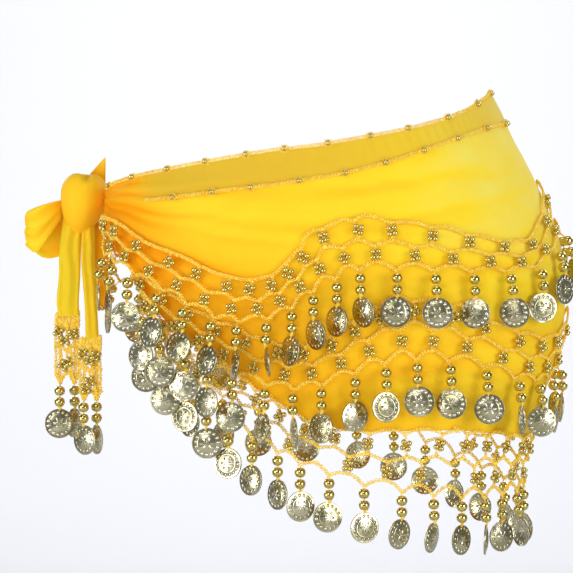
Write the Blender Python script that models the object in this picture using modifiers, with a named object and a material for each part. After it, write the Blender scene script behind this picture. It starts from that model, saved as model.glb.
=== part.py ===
"""Belly dance hip scarf: gathered chiffon tied at one hip, with three tiers of coin net.

The scarf keeps the hollow form it has when it is worn on a general hip. Lengths are millimetres
until the meshes are scaled to metres. A place on the hip is an angle round it and a height: the
knot is at 0 degrees (-X), the front at 90 (-Y), the far side at 180 (+X) and the back at 270.
The origin is the centre of the waist opening.
"""
import math
from collections import namedtuple

import bmesh
import bpy
from mathutils import Matrix, Vector

SCARF = "hip_scarf"
METRES = 0.001

# Sizes of the cloth and of what is sewn on it (mm).
CLOTH_THICKNESS = 1.5
LOOP_THICKNESS = 1.6
SEAM_GAP = 0.3
NET_CLEARANCE = 1.0
CHAIN_CLEARANCE = 0.9
NET_THICKNESS = 1.8
FLOWER_RISE = 1.4
CHAIN_RADIUS = 1.3
BEAD_HALF_WIDTH = 3.6
COIN_DIAMETER = 22.5
COIN_THICKNESS = 1.2
COIN_STEP = 2.8
TIER_THREE_LAP = 1.2
NARROW_COLUMN = 22
SIDE_ANGLE = 180.0
SEAM_ANGLE = 0.05
HIP_ROUNDNESS = 2.3

# The hip that the scarf hangs on, as level sections.
HipSection = namedtuple("HipSection", "height centre half_width front_depth back_depth")
HIP_SECTIONS = (
    HipSection(-330, 5, 156, 88, 98),
    HipSection(-240, 9, 163, 92, 104),
    HipSection(-200, 14, 169, 96, 112),
    HipSection(-160, 21, 176, 100, 124),
    HipSection(-120, 25, 177, 103, 130),
    HipSection(-80, 24, 175, 104, 126),
    HipSection(-30, 15, 164, 101, 112),
    HipSection(20, 3, 150, 96, 96),
    HipSection(60, -4, 140, 92, 88),
)

# The cloth's waist edge and hem round the hip, from the knot to the side and back to the knot.
ClothEdge = namedtuple("ClothEdge", "angle waist hem pull")
FRONT_EDGES = (
    ClothEdge(10, -38, -57, 0),
    ClothEdge(16, -37, -66, 0),
    ClothEdge(24, -35, -79, 0),
    ClothEdge(33, -32, -92, 0),
    ClothEdge(41, -29, -113, 0),
    ClothEdge(50, -26, -134, 0),
    ClothEdge(60, -22, -151, 0),
    ClothEdge(70, -18, -170, 0),
    ClothEdge(81, -13, -191, 0),
    ClothEdge(89, -10, -206, 0),
    ClothEdge(96, -6, -214, 0),
    ClothEdge(110, 1, -215, 0),
    ClothEdge(125, 9, -215, 0),
    ClothEdge(140, 18, -218, 0),
    ClothEdge(156, 28, -222, 0),
    ClothEdge(168, 34, -223, 0),
    ClothEdge(180, 36, -223, 0),
)
BACK_EDGES = (
    ClothEdge(180, 36, -223, 0),
    ClothEdge(192, 34, -222, 0),
    ClothEdge(205, 29, -216, 0),
    ClothEdge(222, 17, -204, 0),
    ClothEdge(240, 6, -188, 0),
    ClothEdge(262, -4, -171, 0),
    ClothEdge(282, -12, -163, 0),
    ClothEdge(298, -20, -154, 0),
    ClothEdge(311, -26, -134, 0),
    ClothEdge(320, -30, -114, 0),
    ClothEdge(329, -33, -94, 0),
    ClothEdge(338, -36, -79, 0),
    ClothEdge(347, -37, -66, 0),
    ClothEdge(356.5, -38, -57, 0.5),
)

# Folds that run out from the knot. `start` and `finish` say how far down the cloth a fold lies at
# each end, as a share of its depth there.
Fold = namedtuple("Fold", "first_angle last_angle start finish rise width")
FRONT_FOLDS = (
    Fold(12, 72, 0.26, 0.20, 3.6, 0.055),
    Fold(14, 84, 0.52, 0.44, 6.0, 0.075),
    Fold(20, 118, 0.11, 0.10, 1.8, 0.040),
    Fold(62, 132, 0.27, 0.21, 2.4, 0.060),
    Fold(92, 168, 0.40, 0.33, 1.8, 0.050),
    Fold(100, 172, 0.66, 0.60, 2.4, 0.060),
    Fold(88, 160, 0.90, 0.86, 2.0, 0.060),
    Fold(40, 92, 0.80, 0.74, 1.8, 0.060),
)
BACK_FOLDS = (
    Fold(350, 292, 0.28, 0.21, 3.4, 0.060),
    Fold(348, 276, 0.55, 0.42, 4.6, 0.080),
    Fold(340, 248, 0.11, 0.10, 1.6, 0.045),
    Fold(296, 216, 0.30, 0.24, 2.2, 0.065),
    Fold(270, 192, 0.46, 0.52, 2.0, 0.060),
    Fold(262, 196, 0.76, 0.70, 2.2, 0.070),
)

# The second beaded chain, where the waist edge is turned over.
ChainPoint = namedtuple("ChainPoint", "angle height")
FOLD_CHAIN_FRONT = (
    ChainPoint(44, -47),
    ChainPoint(58, -44),
    ChainPoint(70, -40),
    ChainPoint(84, -35),
    ChainPoint(99, -25),
    ChainPoint(112, -15),
    ChainPoint(130, -2),
    ChainPoint(150, 8),
    ChainPoint(179.6, 14),
)
FOLD_CHAIN_BACK = (
    ChainPoint(180.4, 14),
    ChainPoint(208, 7),
    ChainPoint(230, -8),
    ChainPoint(254, -21),
    ChainPoint(276, -33),
    ChainPoint(298, -42),
    ChainPoint(316, -47),
)

# The tiers of net. A row is one column of net, counted from the tier's first drop: where its top
# and its lowest point lie, how far its foot stands out over the tier below, how far its drop
# stands out from that foot, and how far its coin turns about its thread.
NetColumn = namedtuple("NetColumn", "column top_angle top low_angle low stand lift turn")
TIER_ONE_FRONT = (
    NetColumn(-0.4, 11.5, -57, 10, -84, 5, 9, 0),
    NetColumn(0, 15, -57.5, 13.5, -88, 5, 9, 4),
    NetColumn(1, 26, -61, 24, -94, 5, 9, -12),
    NetColumn(3, 51, -83.5, 47, -114.5, 5, 9, 10),
    NetColumn(5, 68, -101.5, 63.5, -134.5, 5, 9, -6),
    NetColumn(6, 74, -104.5, 70.5, -137, 3, 7, -2),
    NetColumn(7, 78.5, -101, 77.5, -134.5, 1, 6, 4),
    NetColumn(8, 81.5, -92.5, 82.5, -127, 0, 5, 2),
    NetColumn(9, 84.5, -81, 87, -115.5, 0, 5, -4),
    NetColumn(10, 88.5, -65.5, 90.5, -106, 0, 5, 2),
    NetColumn(11, 94.5, -60, 94.5, -99.5, 0, 5, -4),
    NetColumn(13, 111, -66, 111, -100, 0, 5, 8),
    NetColumn(15, 132, -76, 132.5, -100, 0, 5, -8),
    NetColumn(16, 143, -74, 145, -96.5, 0, 5, 12),
    NetColumn(17, 156, -57, 157, -83, 0, 5, -16),
    NetColumn(18, 171, -37, 171, -71, 0, 5, 10),
    NetColumn(18.5, 180, -30, 180, -66, 0, 5, 0),
)
TIER_ONE_BACK = (
    NetColumn(-0.5, 180, -30, 180, -66, 0, 5, 0),
    NetColumn(0, 188, -36, 188, -71, 0, 5, -8),
    NetColumn(1, 203, -52, 203, -85, 0, 5, 14),
    NetColumn(3, 228, -69, 228, -104, 0, 5, -10),
    NetColumn(6, 258, -60, 259, -100, 0, 5, 12),
    NetColumn(8, 277, -66, 279, -106, 3, 5.5, 4),
    NetColumn(9, 287, -72, 289, -112, 5, 7, -10),
    NetColumn(11, 306, -82, 309, -120, 6.5, 7, 8),
    NetColumn(13, 328, -72, 331, -107, 6, 7, -8),
    NetColumn(14, 339, -62, 343, -96, 5, 8, 6),
    NetColumn(14.4, 343.5, -59, 348, -92, 5, 8, 0),
)
TIER_TWO_FRONT = (
    NetColumn(-0.4, 37, -97, 37, -127, 7.5, 0.5, 0),
    NetColumn(0, 40, -101.5, 41.5, -134, 7.5, 0.5, 0),
    NetColumn(2, 57.5, -124, 57.5, -156, 7.5, 0.5, 0),
    NetColumn(4, 74, -143.5, 71.5, -178, 4.5, 3, 0),
    NetColumn(5, 81, -149.5, 79, -186, 2, 4, 0),
    NetColumn(6, 86.5, -151, 85, -188.5, 0, 4.5, 0),
    NetColumn(7, 90.5, -144, 90, -182.5, 0, 4.5, -4),
    NetColumn(8, 93.5, -133, 95.5, -174.5, 0, 4.5, 6),
    NetColumn(9, 98.5, -122, 101.5, -167.5, 0, 4.5, -14),
    NetColumn(10, 105.5, -116, 108.5, -164, 0, 4.5, 8),
    NetColumn(11, 115, -122, 117, -165.5, 0, 4.5, -6),
    NetColumn(12, 125.5, -133, 128, -170, 0, 4.5, 12),
    NetColumn(13, 137, -142, 141, -178.5, 0, 6, 30),
    NetColumn(14, 149, -147, 153, -181, 0, 4.5, -8),
    NetColumn(15, 160, -144, 163, -179, 0, 4.5, 8),
    NetColumn(16, 172, -133, 173, -172, 0, 4.5, 6),
    NetColumn(16.5, 180, -127, 180, -168, 0, 4.5, 0),
)
TIER_TWO_BACK = (
    NetColumn(-0.5, 180, -127, 180, -168, 0, 4.5, 0),
    NetColumn(0, 189, -133, 189, -173, 0, 4.5, 10),
    NetColumn(1, 204, -138, 204, -177, 0, 4.5, -12),
    NetColumn(3, 229, -127, 230, -167, 0, 4.5, 8),
    NetColumn(6, 262, -108, 262, -149, 0, 4.5, -10),
    NetColumn(8, 283, -110, 284, -151, 0, 4.5, 14),
    NetColumn(10, 303, -115, 303, -152, 7, 0.5, -8),
    NetColumn(11, 313, -107, 312, -143, 7, 0.5, 6),
    NetColumn(11.4, 317, -103, 316, -138, 7, 0.5, 0),
)
TIER_THREE_FRONT = (
    NetColumn(-0.4, 41, -113, 39.8, -146, 0, 0, 0),
    NetColumn(0, 43, -118, 42.6, -153, 0, 0, 0),
    NetColumn(1, 50, -134, 50.3, -170, 0, 0, -8),
    NetColumn(2, 57.5, -147, 57.6, -182, 0, 0, 0),
    NetColumn(3, 65, -160.5, 65.2, -201, 0, 0, 0),
    NetColumn(4, 71, -172, 71, -214, 0, 0, 0),
    NetColumn(6, 83, -195, 83.5, -232, 0, 0, 0),
    NetColumn(8, 94, -212, 93.5, -248, 0, 0, 0),
    NetColumn(9, 102.5, -214.5, 101.5, -255.5, 0, 0, -8),
    NetColumn(10, 111, -214.5, 111.5, -261, 0, 0, 42),
    NetColumn(11, 120, -214.5, 121, -264, 0, 0, 68),
    NetColumn(12, 129, -215.5, 131, -266.5, 0, 0, 74),
    NetColumn(13, 137, -217, 140.5, -267, 0, 0, -72),
    NetColumn(14, 146, -219.5, 150, -266, 0, 0, -14),
    NetColumn(15, 157, -222, 161, -263.5, 0, 0, 62),
    NetColumn(16, 169, -223, 171, -262, 0, 0, 48),
    NetColumn(16.5, 180, -223, 180, -261, 0, 0, 0),
)
TIER_THREE_BACK = (
    NetColumn(-0.5, 180, -223, 180, -261, 0, 0, 0),
    NetColumn(0, 188, -222, 188, -262, 0, 0, 18),
    NetColumn(1, 203, -217, 203, -261, 0, 0, -22),
    NetColumn(3, 227, -200, 228, -245, 0, 0, 16),
    NetColumn(6, 260, -172, 260, -216, 0, 0, -14),
    NetColumn(8, 281, -163, 282, -206, 0, 0, 24),
    NetColumn(10, 301, -151, 302, -190, 0, 0, -16),
    NetColumn(11, 311, -134, 311, -170, 0, 0, 12),
    NetColumn(11.4, 315, -125, 314.5, -161, 0, 0, 0),
)
TIER_THREE_FRONT_ARCS = ((-0.4, 3.5), (3.5, 7.5), (7.5, 11.5), (11.5, 16.5))
TIER_THREE_BACK_ARCS = ((-0.5, 3.5), (3.5, 7.5), (7.5, 11.4))

# How deep each line of the net lies, as a share of the net's height, and how wide its flowers
# and the roots of its drops are, as a share of the space between two drops.
TOP_BAND_FOOT = 0.065
FIRST_ARCH = (0.40, 0.465)
FIRST_DIP = (0.48, 0.55)
SECOND_ARCH = (0.80, 0.865)
SECOND_DIP = (0.93, 1.0)
FLOWER_HALF_WIDTH = 0.16
ROOT_HALF_WIDTH = 0.075

# A drop below its root: two beads on a thread and a coin. Distances are down from the root.
DropRing = namedtuple("DropRing", "name fall half_width half_depth reach turned")
DROP_RINGS = (
    DropRing("first bead", 4.6, BEAD_HALF_WIDTH, BEAD_HALF_WIDTH, 0.86, 0.2),
    DropRing("thread", 8.8, 1.0, 1.0, 0.92, 0.4),
    DropRing("second bead", 13.0, BEAD_HALF_WIDTH, BEAD_HALF_WIDTH, 0.96, 0.6),
    DropRing("coin top", 18.0, COIN_DIAMETER * 0.17, COIN_THICKNESS / 2, 1.0, 1.0),
    DropRing("coin shoulder", 25.0, COIN_DIAMETER * 0.49, COIN_THICKNESS / 2, 1.0, 1.0),
    DropRing("coin flank", 33.0, COIN_DIAMETER * 0.49, COIN_THICKNESS / 2, 1.0, 1.0),
    DropRing("coin foot", 40.2, COIN_DIAMETER * 0.18, COIN_THICKNESS / 2, 1.0, 1.0),
)

# The knot and what hangs from it.
KNOT_CENTRE = (-162.0, -9.0, -46.0)
KNOT_RADII = (17.0, 22.0, 23.5)
KNOT_FOOT = -66.0
KNOT_SEGMENTS = 14
KNOT_RINGS = 9
KNOT_DIMPLE_DEPTH = 0.16
KNOT_DIMPLE_SPREAD = 0.10
KNOT_WRAP = 0.05

TailSection = namedtuple("TailSection", "height left right middle thickness")
TAIL_ONE = (
    TailSection(-66.4, -174.5, -162.5, -15, 6.5),
    TailSection(-84, -179, -163, -16, 5.5),
    TailSection(-104, -180, -163.5, -16, 5),
    TailSection(-122, -181.5, -164.5, -15.5, 4.5),
    TailSection(-132, -180, -164, -15, 3),
)
TAIL_TWO = (
    TailSection(-66.4, -161.8, -152.5, -18, 6),
    TailSection(-92, -162.5, -152, -20, 5),
    TailSection(-122, -160, -150.5, -21, 4.5),
    TailSection(-150, -159, -149, -21.5, 3),
)
TAIL_THREE = (
    TailSection(-66.4, -155.5, -148.5, -8, 4.5),
    TailSection(-84, -154, -143, -9, 4),
    TailSection(-106, -153, -142.5, -10, 4),
    TailSection(-125, -152.5, -142, -11, 3),
)
TIP_FOOT = ((-156.0, -4.0, -23.6), (-144.9, -4.0, -32.3))
TIP_POINT = (-145.0, -6.0, -12.0)
TIP_THICKNESS = 2.4
TIP_TAPER = 0.12

LoopStation = namedtuple("LoopStation", "x y top bottom")
BOW_LOOP = (
    LoopStation(-178.2, -17, -45, -59),
    LoopStation(-186, -22, -47, -72),
    LoopStation(-195, -24, -50, -84),
    LoopStation(-203, -20, -53, -80),
    LoopStation(-204.5, -13, -54, -78),
    LoopStation(-202, -6, -52, -82),
    LoopStation(-194, -3, -49, -88),
    LoopStation(-186, -4, -46, -80),
    LoopStation(-179.2, -7, -45, -61),
)

# The nets on the ends of the first two tails, as flat strips two drops wide. Each drop stands out
# and turns by its own amount, so that the coins lie over each other.
TailNet = namedtuple("TailNet", "name left right top low middle drops")
TailDrop = namedtuple("TailDrop", "lift turn")
TAIL_NETS = (
    TailNet("tail_net_1", -186, -166, -132.4, -184, -14, (TailDrop(5, 12), TailDrop(-4, -16))),
    TailNet("tail_net_2", -163, -148, -150.4, -196, -22, (TailDrop(6, -10), TailDrop(-1.5, 34))),
)
TAIL_NET_FLOWER = 0.22
TAIL_NET_END = 0.3
TAIL_NET_BOW = 3.0

CLOTH_FRONT_GRID = (34, 13)
CLOTH_BACK_GRID = (26, 9)
LOOP_GRID = (12, 2)
LOOP_SAG = 0.6
CHAIN_POINTS_FRONT = 28
CHAIN_POINTS_BACK = 24
TAIL_SIDES = 8
TAIL_FOLD = 0.18

Finish = namedtuple("Finish", "name colour roughness metallic")
CHIFFON = Finish("yellow_chiffon", (0.95, 0.60, 0.02, 1.0), 0.7, 0.0)
CROCHET = Finish("yellow_crochet_thread", (0.97, 0.72, 0.12, 1.0), 0.8, 0.0)
GOLD = Finish("gold_beads_and_coins", (0.72, 0.60, 0.28, 1.0), 0.25, 0.9)


# ---------------------------------------------------------------- tables and the hip


def slope(rows, index, column):
    """How fast a table's column changes at a row, from the rows on both sides of it."""
    before = rows[max(index - 1, 0)]
    after = rows[min(index + 1, len(rows) - 1)]
    return (after[column] - before[column]) / (after[0] - before[0])


def read_table(rows, at):
    """All columns of a table at a value of its first one, on a smooth curve through the rows."""
    if rows[0][0] > rows[-1][0]:
        rows = tuple(reversed(rows))
    at = min(max(at, rows[0][0]), rows[-1][0])
    index = 0
    while index < len(rows) - 2 and rows[index + 1][0] <= at:
        index += 1
    low, high = rows[index], rows[index + 1]
    span = high[0] - low[0]
    t = (at - low[0]) / span
    values = [at]
    for column in range(1, len(low)):
        leaving = slope(rows, index, column) * span
        arriving = slope(rows, index + 1, column) * span
        start, end = low[column], high[column]
        values.append(
            start * (1 + 2 * t) * (1 - t) ** 2
            + leaving * t * (1 - t) ** 2
            + end * t * t * (3 - 2 * t)
            - arriving * t * t * (1 - t)
        )
    return type(low)(*values)


def signed_power(value, power):
    """A power that keeps its value's sign."""
    return math.copysign(abs(value) ** power, value)


def on_hip(angle, height, outward):
    """The point at an angle and a height, moved out from the hip."""
    section = read_table(HIP_SECTIONS, height)
    cosine, sine = math.cos(math.radians(angle)), math.sin(math.radians(angle))
    depth = section.front_depth if sine >= 0 else section.back_depth
    reach = 2 / HIP_ROUNDNESS
    x = section.centre - section.half_width * signed_power(cosine, reach)
    y = -depth * signed_power(sine, reach)
    normal = Vector((
        -signed_power(cosine, 2 - reach) / section.half_width,
        -signed_power(sine, 2 - reach) / depth,
        0,
    )).normalized()
    return Vector((x, y, height)) + normal * outward


def hip_frame(angle, height):
    """The directions along the hip and away from it at a place."""
    away = (on_hip(angle, height, 1) - on_hip(angle, height, 0)).normalized()
    along = Vector((0, 0, 1)).cross(away).normalized()
    return along, away


# ---------------------------------------------------------------- the cloth's form


def edges_and_folds(angle):
    """The edge and fold tables of the half of the scarf that an angle is on."""
    if angle <= SIDE_ANGLE:
        return FRONT_EDGES, FRONT_FOLDS
    return BACK_EDGES, BACK_FOLDS


def relief(angle, height):
    """How far the cloth stands out from the hip at a place, for its folds and its pull."""
    edges, folds = edges_and_folds(angle)
    edge = read_table(edges, angle)
    down = (edge.waist - height) / (edge.waist - edge.hem)
    out = edge.pull
    for fold in folds:
        along = (angle - fold.first_angle) / (fold.last_angle - fold.first_angle)
        if not 0 < along < 1:
            continue
        line = fold.start + (fold.finish - fold.start) * along
        strength = math.sin(math.pi * min(along * 2.5, 0.5 + (along - 0.2) * 0.625)) ** 2
        out += fold.rise * strength * math.exp(-(((down - line) / fold.width) ** 2))
    return max(out, 0)


def highest_relief(angle, height, reach_angle=3.0, reach_height=6.0):
    """The greatest relief round a place, for what has to lie over the folds there."""
    places = [
        (angle + a * reach_angle, height + h * reach_height)
        for a in (-1, 0, 1)
        for h in (-1, -0.5, 0, 0.5, 1)
    ]
    return max(relief(a, h) for a, h in places)


def over_cloth(angle, height, gap):
    """How far out something lies that rests over the cloth with a gap."""
    return highest_relief(angle, height) + CLOTH_THICKNESS + gap


# ---------------------------------------------------------------- mesh helpers


def finish_material(finish):
    """The Principled material of a finish, made once."""
    material = bpy.data.materials.get(finish.name)
    if material is None:
        material = bpy.data.materials.new(finish.name)
        material.use_nodes = True
        shader = material.node_tree.nodes["Principled BSDF"]
        shader.inputs["Base Color"].default_value = finish.colour
        shader.inputs["Roughness"].default_value = finish.roughness
        shader.inputs["Metallic"].default_value = finish.metallic
        material.diffuse_color = finish.colour
    return material


def scarf_collection():
    """The collection that holds the scarf's pieces."""
    collection = bpy.data.collections.get(SCARF)
    if collection is None:
        collection = bpy.data.collections.new(SCARF)
        bpy.context.scene.collection.children.link(collection)
    return collection


def add_piece(name, bm, finish):
    """A named object from a mesh built in millimetres."""
    bmesh.ops.scale(bm, vec=(METRES, METRES, METRES), verts=bm.verts)
    mesh = bpy.data.meshes.new(name)
    bm.to_mesh(mesh)
    bm.free()
    mesh.materials.append(finish_material(finish))
    piece = bpy.data.objects.new(name, mesh)
    scarf_collection().objects.link(piece)
    return piece


def grid_wall(name, columns, rows, place, thickness, finish):
    """A wall of cloth: a grid laid by place(across, up), both from 0 to 1, and given thickness."""
    bm = bmesh.new()
    bmesh.ops.create_grid(bm, x_segments=columns, y_segments=rows, size=0.5)
    for vert in bm.verts:
        vert.co = place(vert.co.x + 0.5, vert.co.y + 0.5)
    piece = add_piece(name, bm, finish)
    solidify = piece.modifiers.new("wall", "SOLIDIFY")
    solidify.thickness = thickness * METRES
    solidify.offset = 1
    solidify.use_even_offset = True
    return piece


def ring_verts(bm, points):
    """New vertices at a ring's points."""
    return [bm.verts.new(point) for point in points]


def bridge(bm, upper, lower):
    """Faces between two rings of the same number of vertices."""
    count = len(upper)
    for index in range(count):
        after = (index + 1) % count
        bm.faces.new((upper[index], upper[after], lower[after], lower[index]))


def loft(bm, rings, first=None):
    """A closed body through rings of points, or one that goes on from a first ring of vertices."""
    if first is None:
        first = ring_verts(bm, rings[0])
        bm.faces.new(list(reversed(first)))
        rings = rings[1:]
    for points in rings:
        following = ring_verts(bm, points)
        bridge(bm, first, following)
        first = following
    bm.faces.new(first)


# ---------------------------------------------------------------- cloth, chains and knot


def cloth(name, edges, grid, finish):
    """One stretch of the chiffon, from one edge table."""
    first, last = edges[0].angle, edges[-1].angle
    if first == SIDE_ANGLE:
        first += SEAM_ANGLE
    if last == SIDE_ANGLE:
        last -= SEAM_ANGLE

    def place(across, up):
        angle = first + (last - first) * across
        edge = read_table(edges, angle)
        height = edge.hem + (edge.waist - edge.hem) * up
        return on_hip(angle, height, relief(angle, height))

    return grid_wall(name, grid[0], grid[1], place, CLOTH_THICKNESS, finish)


def chain(name, points, finish):
    """A crocheted chain as a round tube through points."""
    curve = bpy.data.curves.new(name, "CURVE")
    curve.dimensions = "3D"
    curve.bevel_depth = CHAIN_RADIUS * METRES
    curve.bevel_resolution = 0
    curve.use_fill_caps = True
    spline = curve.splines.new("POLY")
    spline.points.add(len(points) - 1)
    for spot, point in zip(spline.points, points):
        spot.co = (*(point * METRES), 1)
    curve.materials.append(finish_material(finish))
    piece = bpy.data.objects.new(name, curve)
    scarf_collection().objects.link(piece)
    return piece


def spread(first, last, count):
    """Evenly spaced values from first to last."""
    return [first + (last - first) * step / (count - 1) for step in range(count)]


def waist_chain(name, edges, first, last, count):
    """The chain that stands on the cloth's waist edge."""

    def edge_point(angle):
        height = read_table(edges, angle).waist
        return on_hip(angle, height, relief(angle, height) + CLOTH_THICKNESS / 2)

    points = []
    for angle in spread(first, last, count):
        spot = edge_point(angle)
        along = (edge_point(angle + 0.2) - edge_point(angle - 0.2)).normalized()
        away = hip_frame(angle, spot.z)[1]
        upward = away.cross(along).normalized()
        points.append(spot + upward * math.copysign(CHAIN_RADIUS + CHAIN_CLEARANCE, upward.z))
    return chain(name, points, CROCHET)


def fold_chain(name, route, count):
    """The chain that lies on the cloth below the waist edge."""
    points = []
    for angle in spread(route[0].angle, route[-1].angle, count):
        height = read_table(route, angle).height
        out = over_cloth(angle, height, CHAIN_CLEARANCE + CHAIN_RADIUS)
        points.append(on_hip(angle, height, out))
    return chain(name, points, CROCHET)


def knot():
    """The round knot, flat underneath where the tails come out, with a dimple on top."""
    bm = bmesh.new()
    bmesh.ops.create_uvsphere(bm, u_segments=KNOT_SEGMENTS, v_segments=KNOT_RINGS, radius=1)
    for vert in bm.verts:
        from_axis = (vert.co.x ** 2 + vert.co.y ** 2) / KNOT_DIMPLE_SPREAD
        dimple = KNOT_DIMPLE_DEPTH * math.exp(-from_axis) * (vert.co.z > 0)
        wrap = 1 + KNOT_WRAP * math.sin(3 * vert.co.z + 2 * vert.co.y)
        x, y, z = vert.co.x * wrap, vert.co.y * wrap, vert.co.z - dimple
        spot = [c + r * v for c, r, v in zip(KNOT_CENTRE, KNOT_RADII, (x, y, z))]
        vert.co = Vector(spot)
    geometry = bm.verts[:] + bm.edges[:] + bm.faces[:]
    cut = bmesh.ops.bisect_plane(
        bm, geom=geometry, plane_co=(0, 0, KNOT_FOOT), plane_no=(0, 0, -1), clear_outer=True
    )
    rim = [item for item in cut["geom_cut"] if isinstance(item, bmesh.types.BMEdge)]
    bmesh.ops.contextual_create(bm, geom=rim)
    return add_piece("knot", bm, CHIFFON)


def knot_tip():
    """The cloth's corner that stands up behind the knot."""
    (left, right), point = TIP_FOOT, Vector(TIP_POINT)
    half = Vector((0, TIP_THICKNESS / 2, 0))
    foot = [Vector(left) - half, Vector(right) - half, Vector(right) + half, Vector(left) + half]
    head = [point + (corner - point) * TIP_TAPER for corner in foot]
    bm = bmesh.new()
    loft(bm, [foot, head])
    bmesh.ops.recalc_face_normals(bm, faces=bm.faces)
    return add_piece("knot_tip", bm, CHIFFON)


def tail(name, sections):
    """A hanging end: gathered cloth, lofted through sections that narrow and widen."""
    rings = []
    for section in sections:
        centre_x = (section.left + section.right) / 2
        half_width = (section.right - section.left) / 2
        ring = []
        for side in range(TAIL_SIDES):
            turn = math.tau * (side + 0.5) / TAIL_SIDES
            x = centre_x + half_width * math.cos(turn) / math.cos(math.pi / TAIL_SIDES)
            fold = TAIL_FOLD * math.cos(3 * turn) * section.thickness
            y = section.middle + (section.thickness / 2) * math.sin(turn) + fold * math.cos(turn)
            ring.append(Vector((x, y, section.height)))
        rings.append(ring)
    bm = bmesh.new()
    loft(bm, rings)
    bmesh.ops.recalc_face_normals(bm, faces=bm.faces)
    return add_piece(name, bm, CHIFFON)


def bow_loop():
    """The loop pulled through the knot: a strip that goes out, turns and comes back."""
    rows = [(index, *station) for index, station in enumerate(BOW_LOOP)]
    Numbered = namedtuple("Numbered", ("index",) + LoopStation._fields)
    stations = tuple(Numbered(*row) for row in rows)

    def place(across, up):
        station = read_table(stations, across * (len(stations) - 1))
        height = station.bottom + (station.top - station.bottom) * up
        return Vector((station.x - LOOP_SAG * math.sin(math.pi * up), station.y, height))

    return grid_wall("bow_loop", LOOP_GRID[0], LOOP_GRID[1], place, LOOP_THICKNESS, CHIFFON)


# ---------------------------------------------------------------- the net


def fill_band(faces, upper, lower):
    """Triangles between two lines of (place along, key) that run the same way."""
    i = j = 0
    while i < len(upper) - 1 or j < len(lower) - 1:
        step_upper = j == len(lower) - 1 or (
            i < len(upper) - 1 and upper[i + 1][0] <= lower[j + 1][0]
        )
        if step_upper:
            faces.append(((lower[j][1], upper[i + 1][1], upper[i][1]), 0))
            i += 1
        else:
            faces.append(((lower[j][1], lower[j + 1][1], upper[i][1]), 0))
            j += 1


class NetPattern:
    """The net's lines, flowers and drop roots between two cut ends, in net coordinates.

    A key is (line name, place along). `corners` gives each key its share of the way down.
    """

    def __init__(self, first, last, half_flower):
        self.first, self.last = first, last
        self.half_flower = half_flower
        self.corners = {}
        self.faces = []
        self.roots = []
        self.build()

    def key(self, line, along, down):
        """A corner of the net, noted with how far down it lies."""
        name = (line, round(along, 5))
        self.corners[name] = down
        return name

    def line(self, name, spots):
        """A sorted line of corners from (place along, how far down)."""
        inside = [spot for spot in sorted(spots) if self.first <= spot[0] <= self.last]
        return [(along, self.key(name, along, down)) for along, down in inside]

    def ends(self, low_share, high_share):
        """The two cut ends of a line, at the depth that the line has there."""
        return [(self.first, self.at(self.first, low_share, high_share)),
                (self.last, self.at(self.last, low_share, high_share))]

    @staticmethod
    def at(along, on_column, between):
        """A line's depth between its columns, straight from one to the next."""
        offset = abs(along - round(along)) * 2
        return on_column + (between - on_column) * min(offset, 1)

    def build(self):
        """All corners and faces of the net."""
        wide, root = self.half_flower, ROOT_HALF_WIDTH
        columns = range(math.ceil(self.first - wide), math.floor(self.last + wide) + 1)
        columns = [c for c in columns if self.first <= c <= self.last]
        halves = [c + 0.5 for c in range(math.floor(self.first) - 1, math.ceil(self.last) + 1)]

        def pair(spots, half_width, down):
            return [(spot + side * half_width, down) for spot in spots for side in (-1, 1)]

        top = self.line("top", pair(columns, wide, 0) + self.ends(0, 0))
        foot = self.line(
            "top foot", pair(columns, wide, TOP_BAND_FOOT) + self.ends(TOP_BAND_FOOT, TOP_BAND_FOOT)
        )
        arch_top = self.line(
            "first arch",
            pair(columns, wide, FIRST_ARCH[0])
            + [(half, FIRST_DIP[0]) for half in halves]
            + self.ends(FIRST_ARCH[0], FIRST_DIP[0]),
        )
        arch_foot = self.line(
            "first arch foot",
            [(column, FIRST_ARCH[1]) for column in columns]
            + pair(halves, wide, FIRST_DIP[1])
            + self.ends(FIRST_ARCH[1], FIRST_DIP[1]),
        )
        second_top = self.line(
            "second arch",
            pair(halves, wide, SECOND_ARCH[0])
            + [(column, SECOND_DIP[0]) for column in columns]
            + self.ends(SECOND_DIP[0], SECOND_ARCH[0]),
        )
        second_foot = self.line(
            "second arch foot",
            [(half, SECOND_ARCH[1]) for half in halves]
            + pair(columns, root, SECOND_DIP[1])
            + self.ends(SECOND_DIP[1], SECOND_ARCH[1]),
        )
        fill_band(self.faces, top, foot)
        fill_band(self.faces, arch_top, arch_foot)
        fill_band(self.faces, second_top, second_foot)
        self.flowers(columns, foot, arch_top)
        self.flowers(halves, arch_foot, second_top)
        for column in columns:
            left = ("second arch foot", round(column - root, 5))
            right = ("second arch foot", round(column + root, 5))
            if left in self.corners and right in self.corners:
                self.roots.append((column, left, right))

    def flowers(self, spots, upper, lower):
        """A flower between two lines at each spot, cut where the net is cut."""
        above, below = dict(upper), dict(lower)
        for spot in spots:
            left = max(spot - self.half_flower, self.first)
            right = min(spot + self.half_flower, self.last)
            places = [self.match(above, left), self.match(above, right),
                      self.match(below, right), self.match(below, left)]
            if right - left > self.half_flower * 0.9 and None not in places:
                whole = right - left > self.half_flower * 1.9
                faces = (places[3], places[2], places[1], places[0])
                self.faces.append((faces, FLOWER_RISE if whole else 0))

    @staticmethod
    def match(line, along):
        """The key of a line's corner at a place along it."""
        for spot, key in line.items():
            if abs(spot - along) < 1e-4:
                return key
        return None


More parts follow.
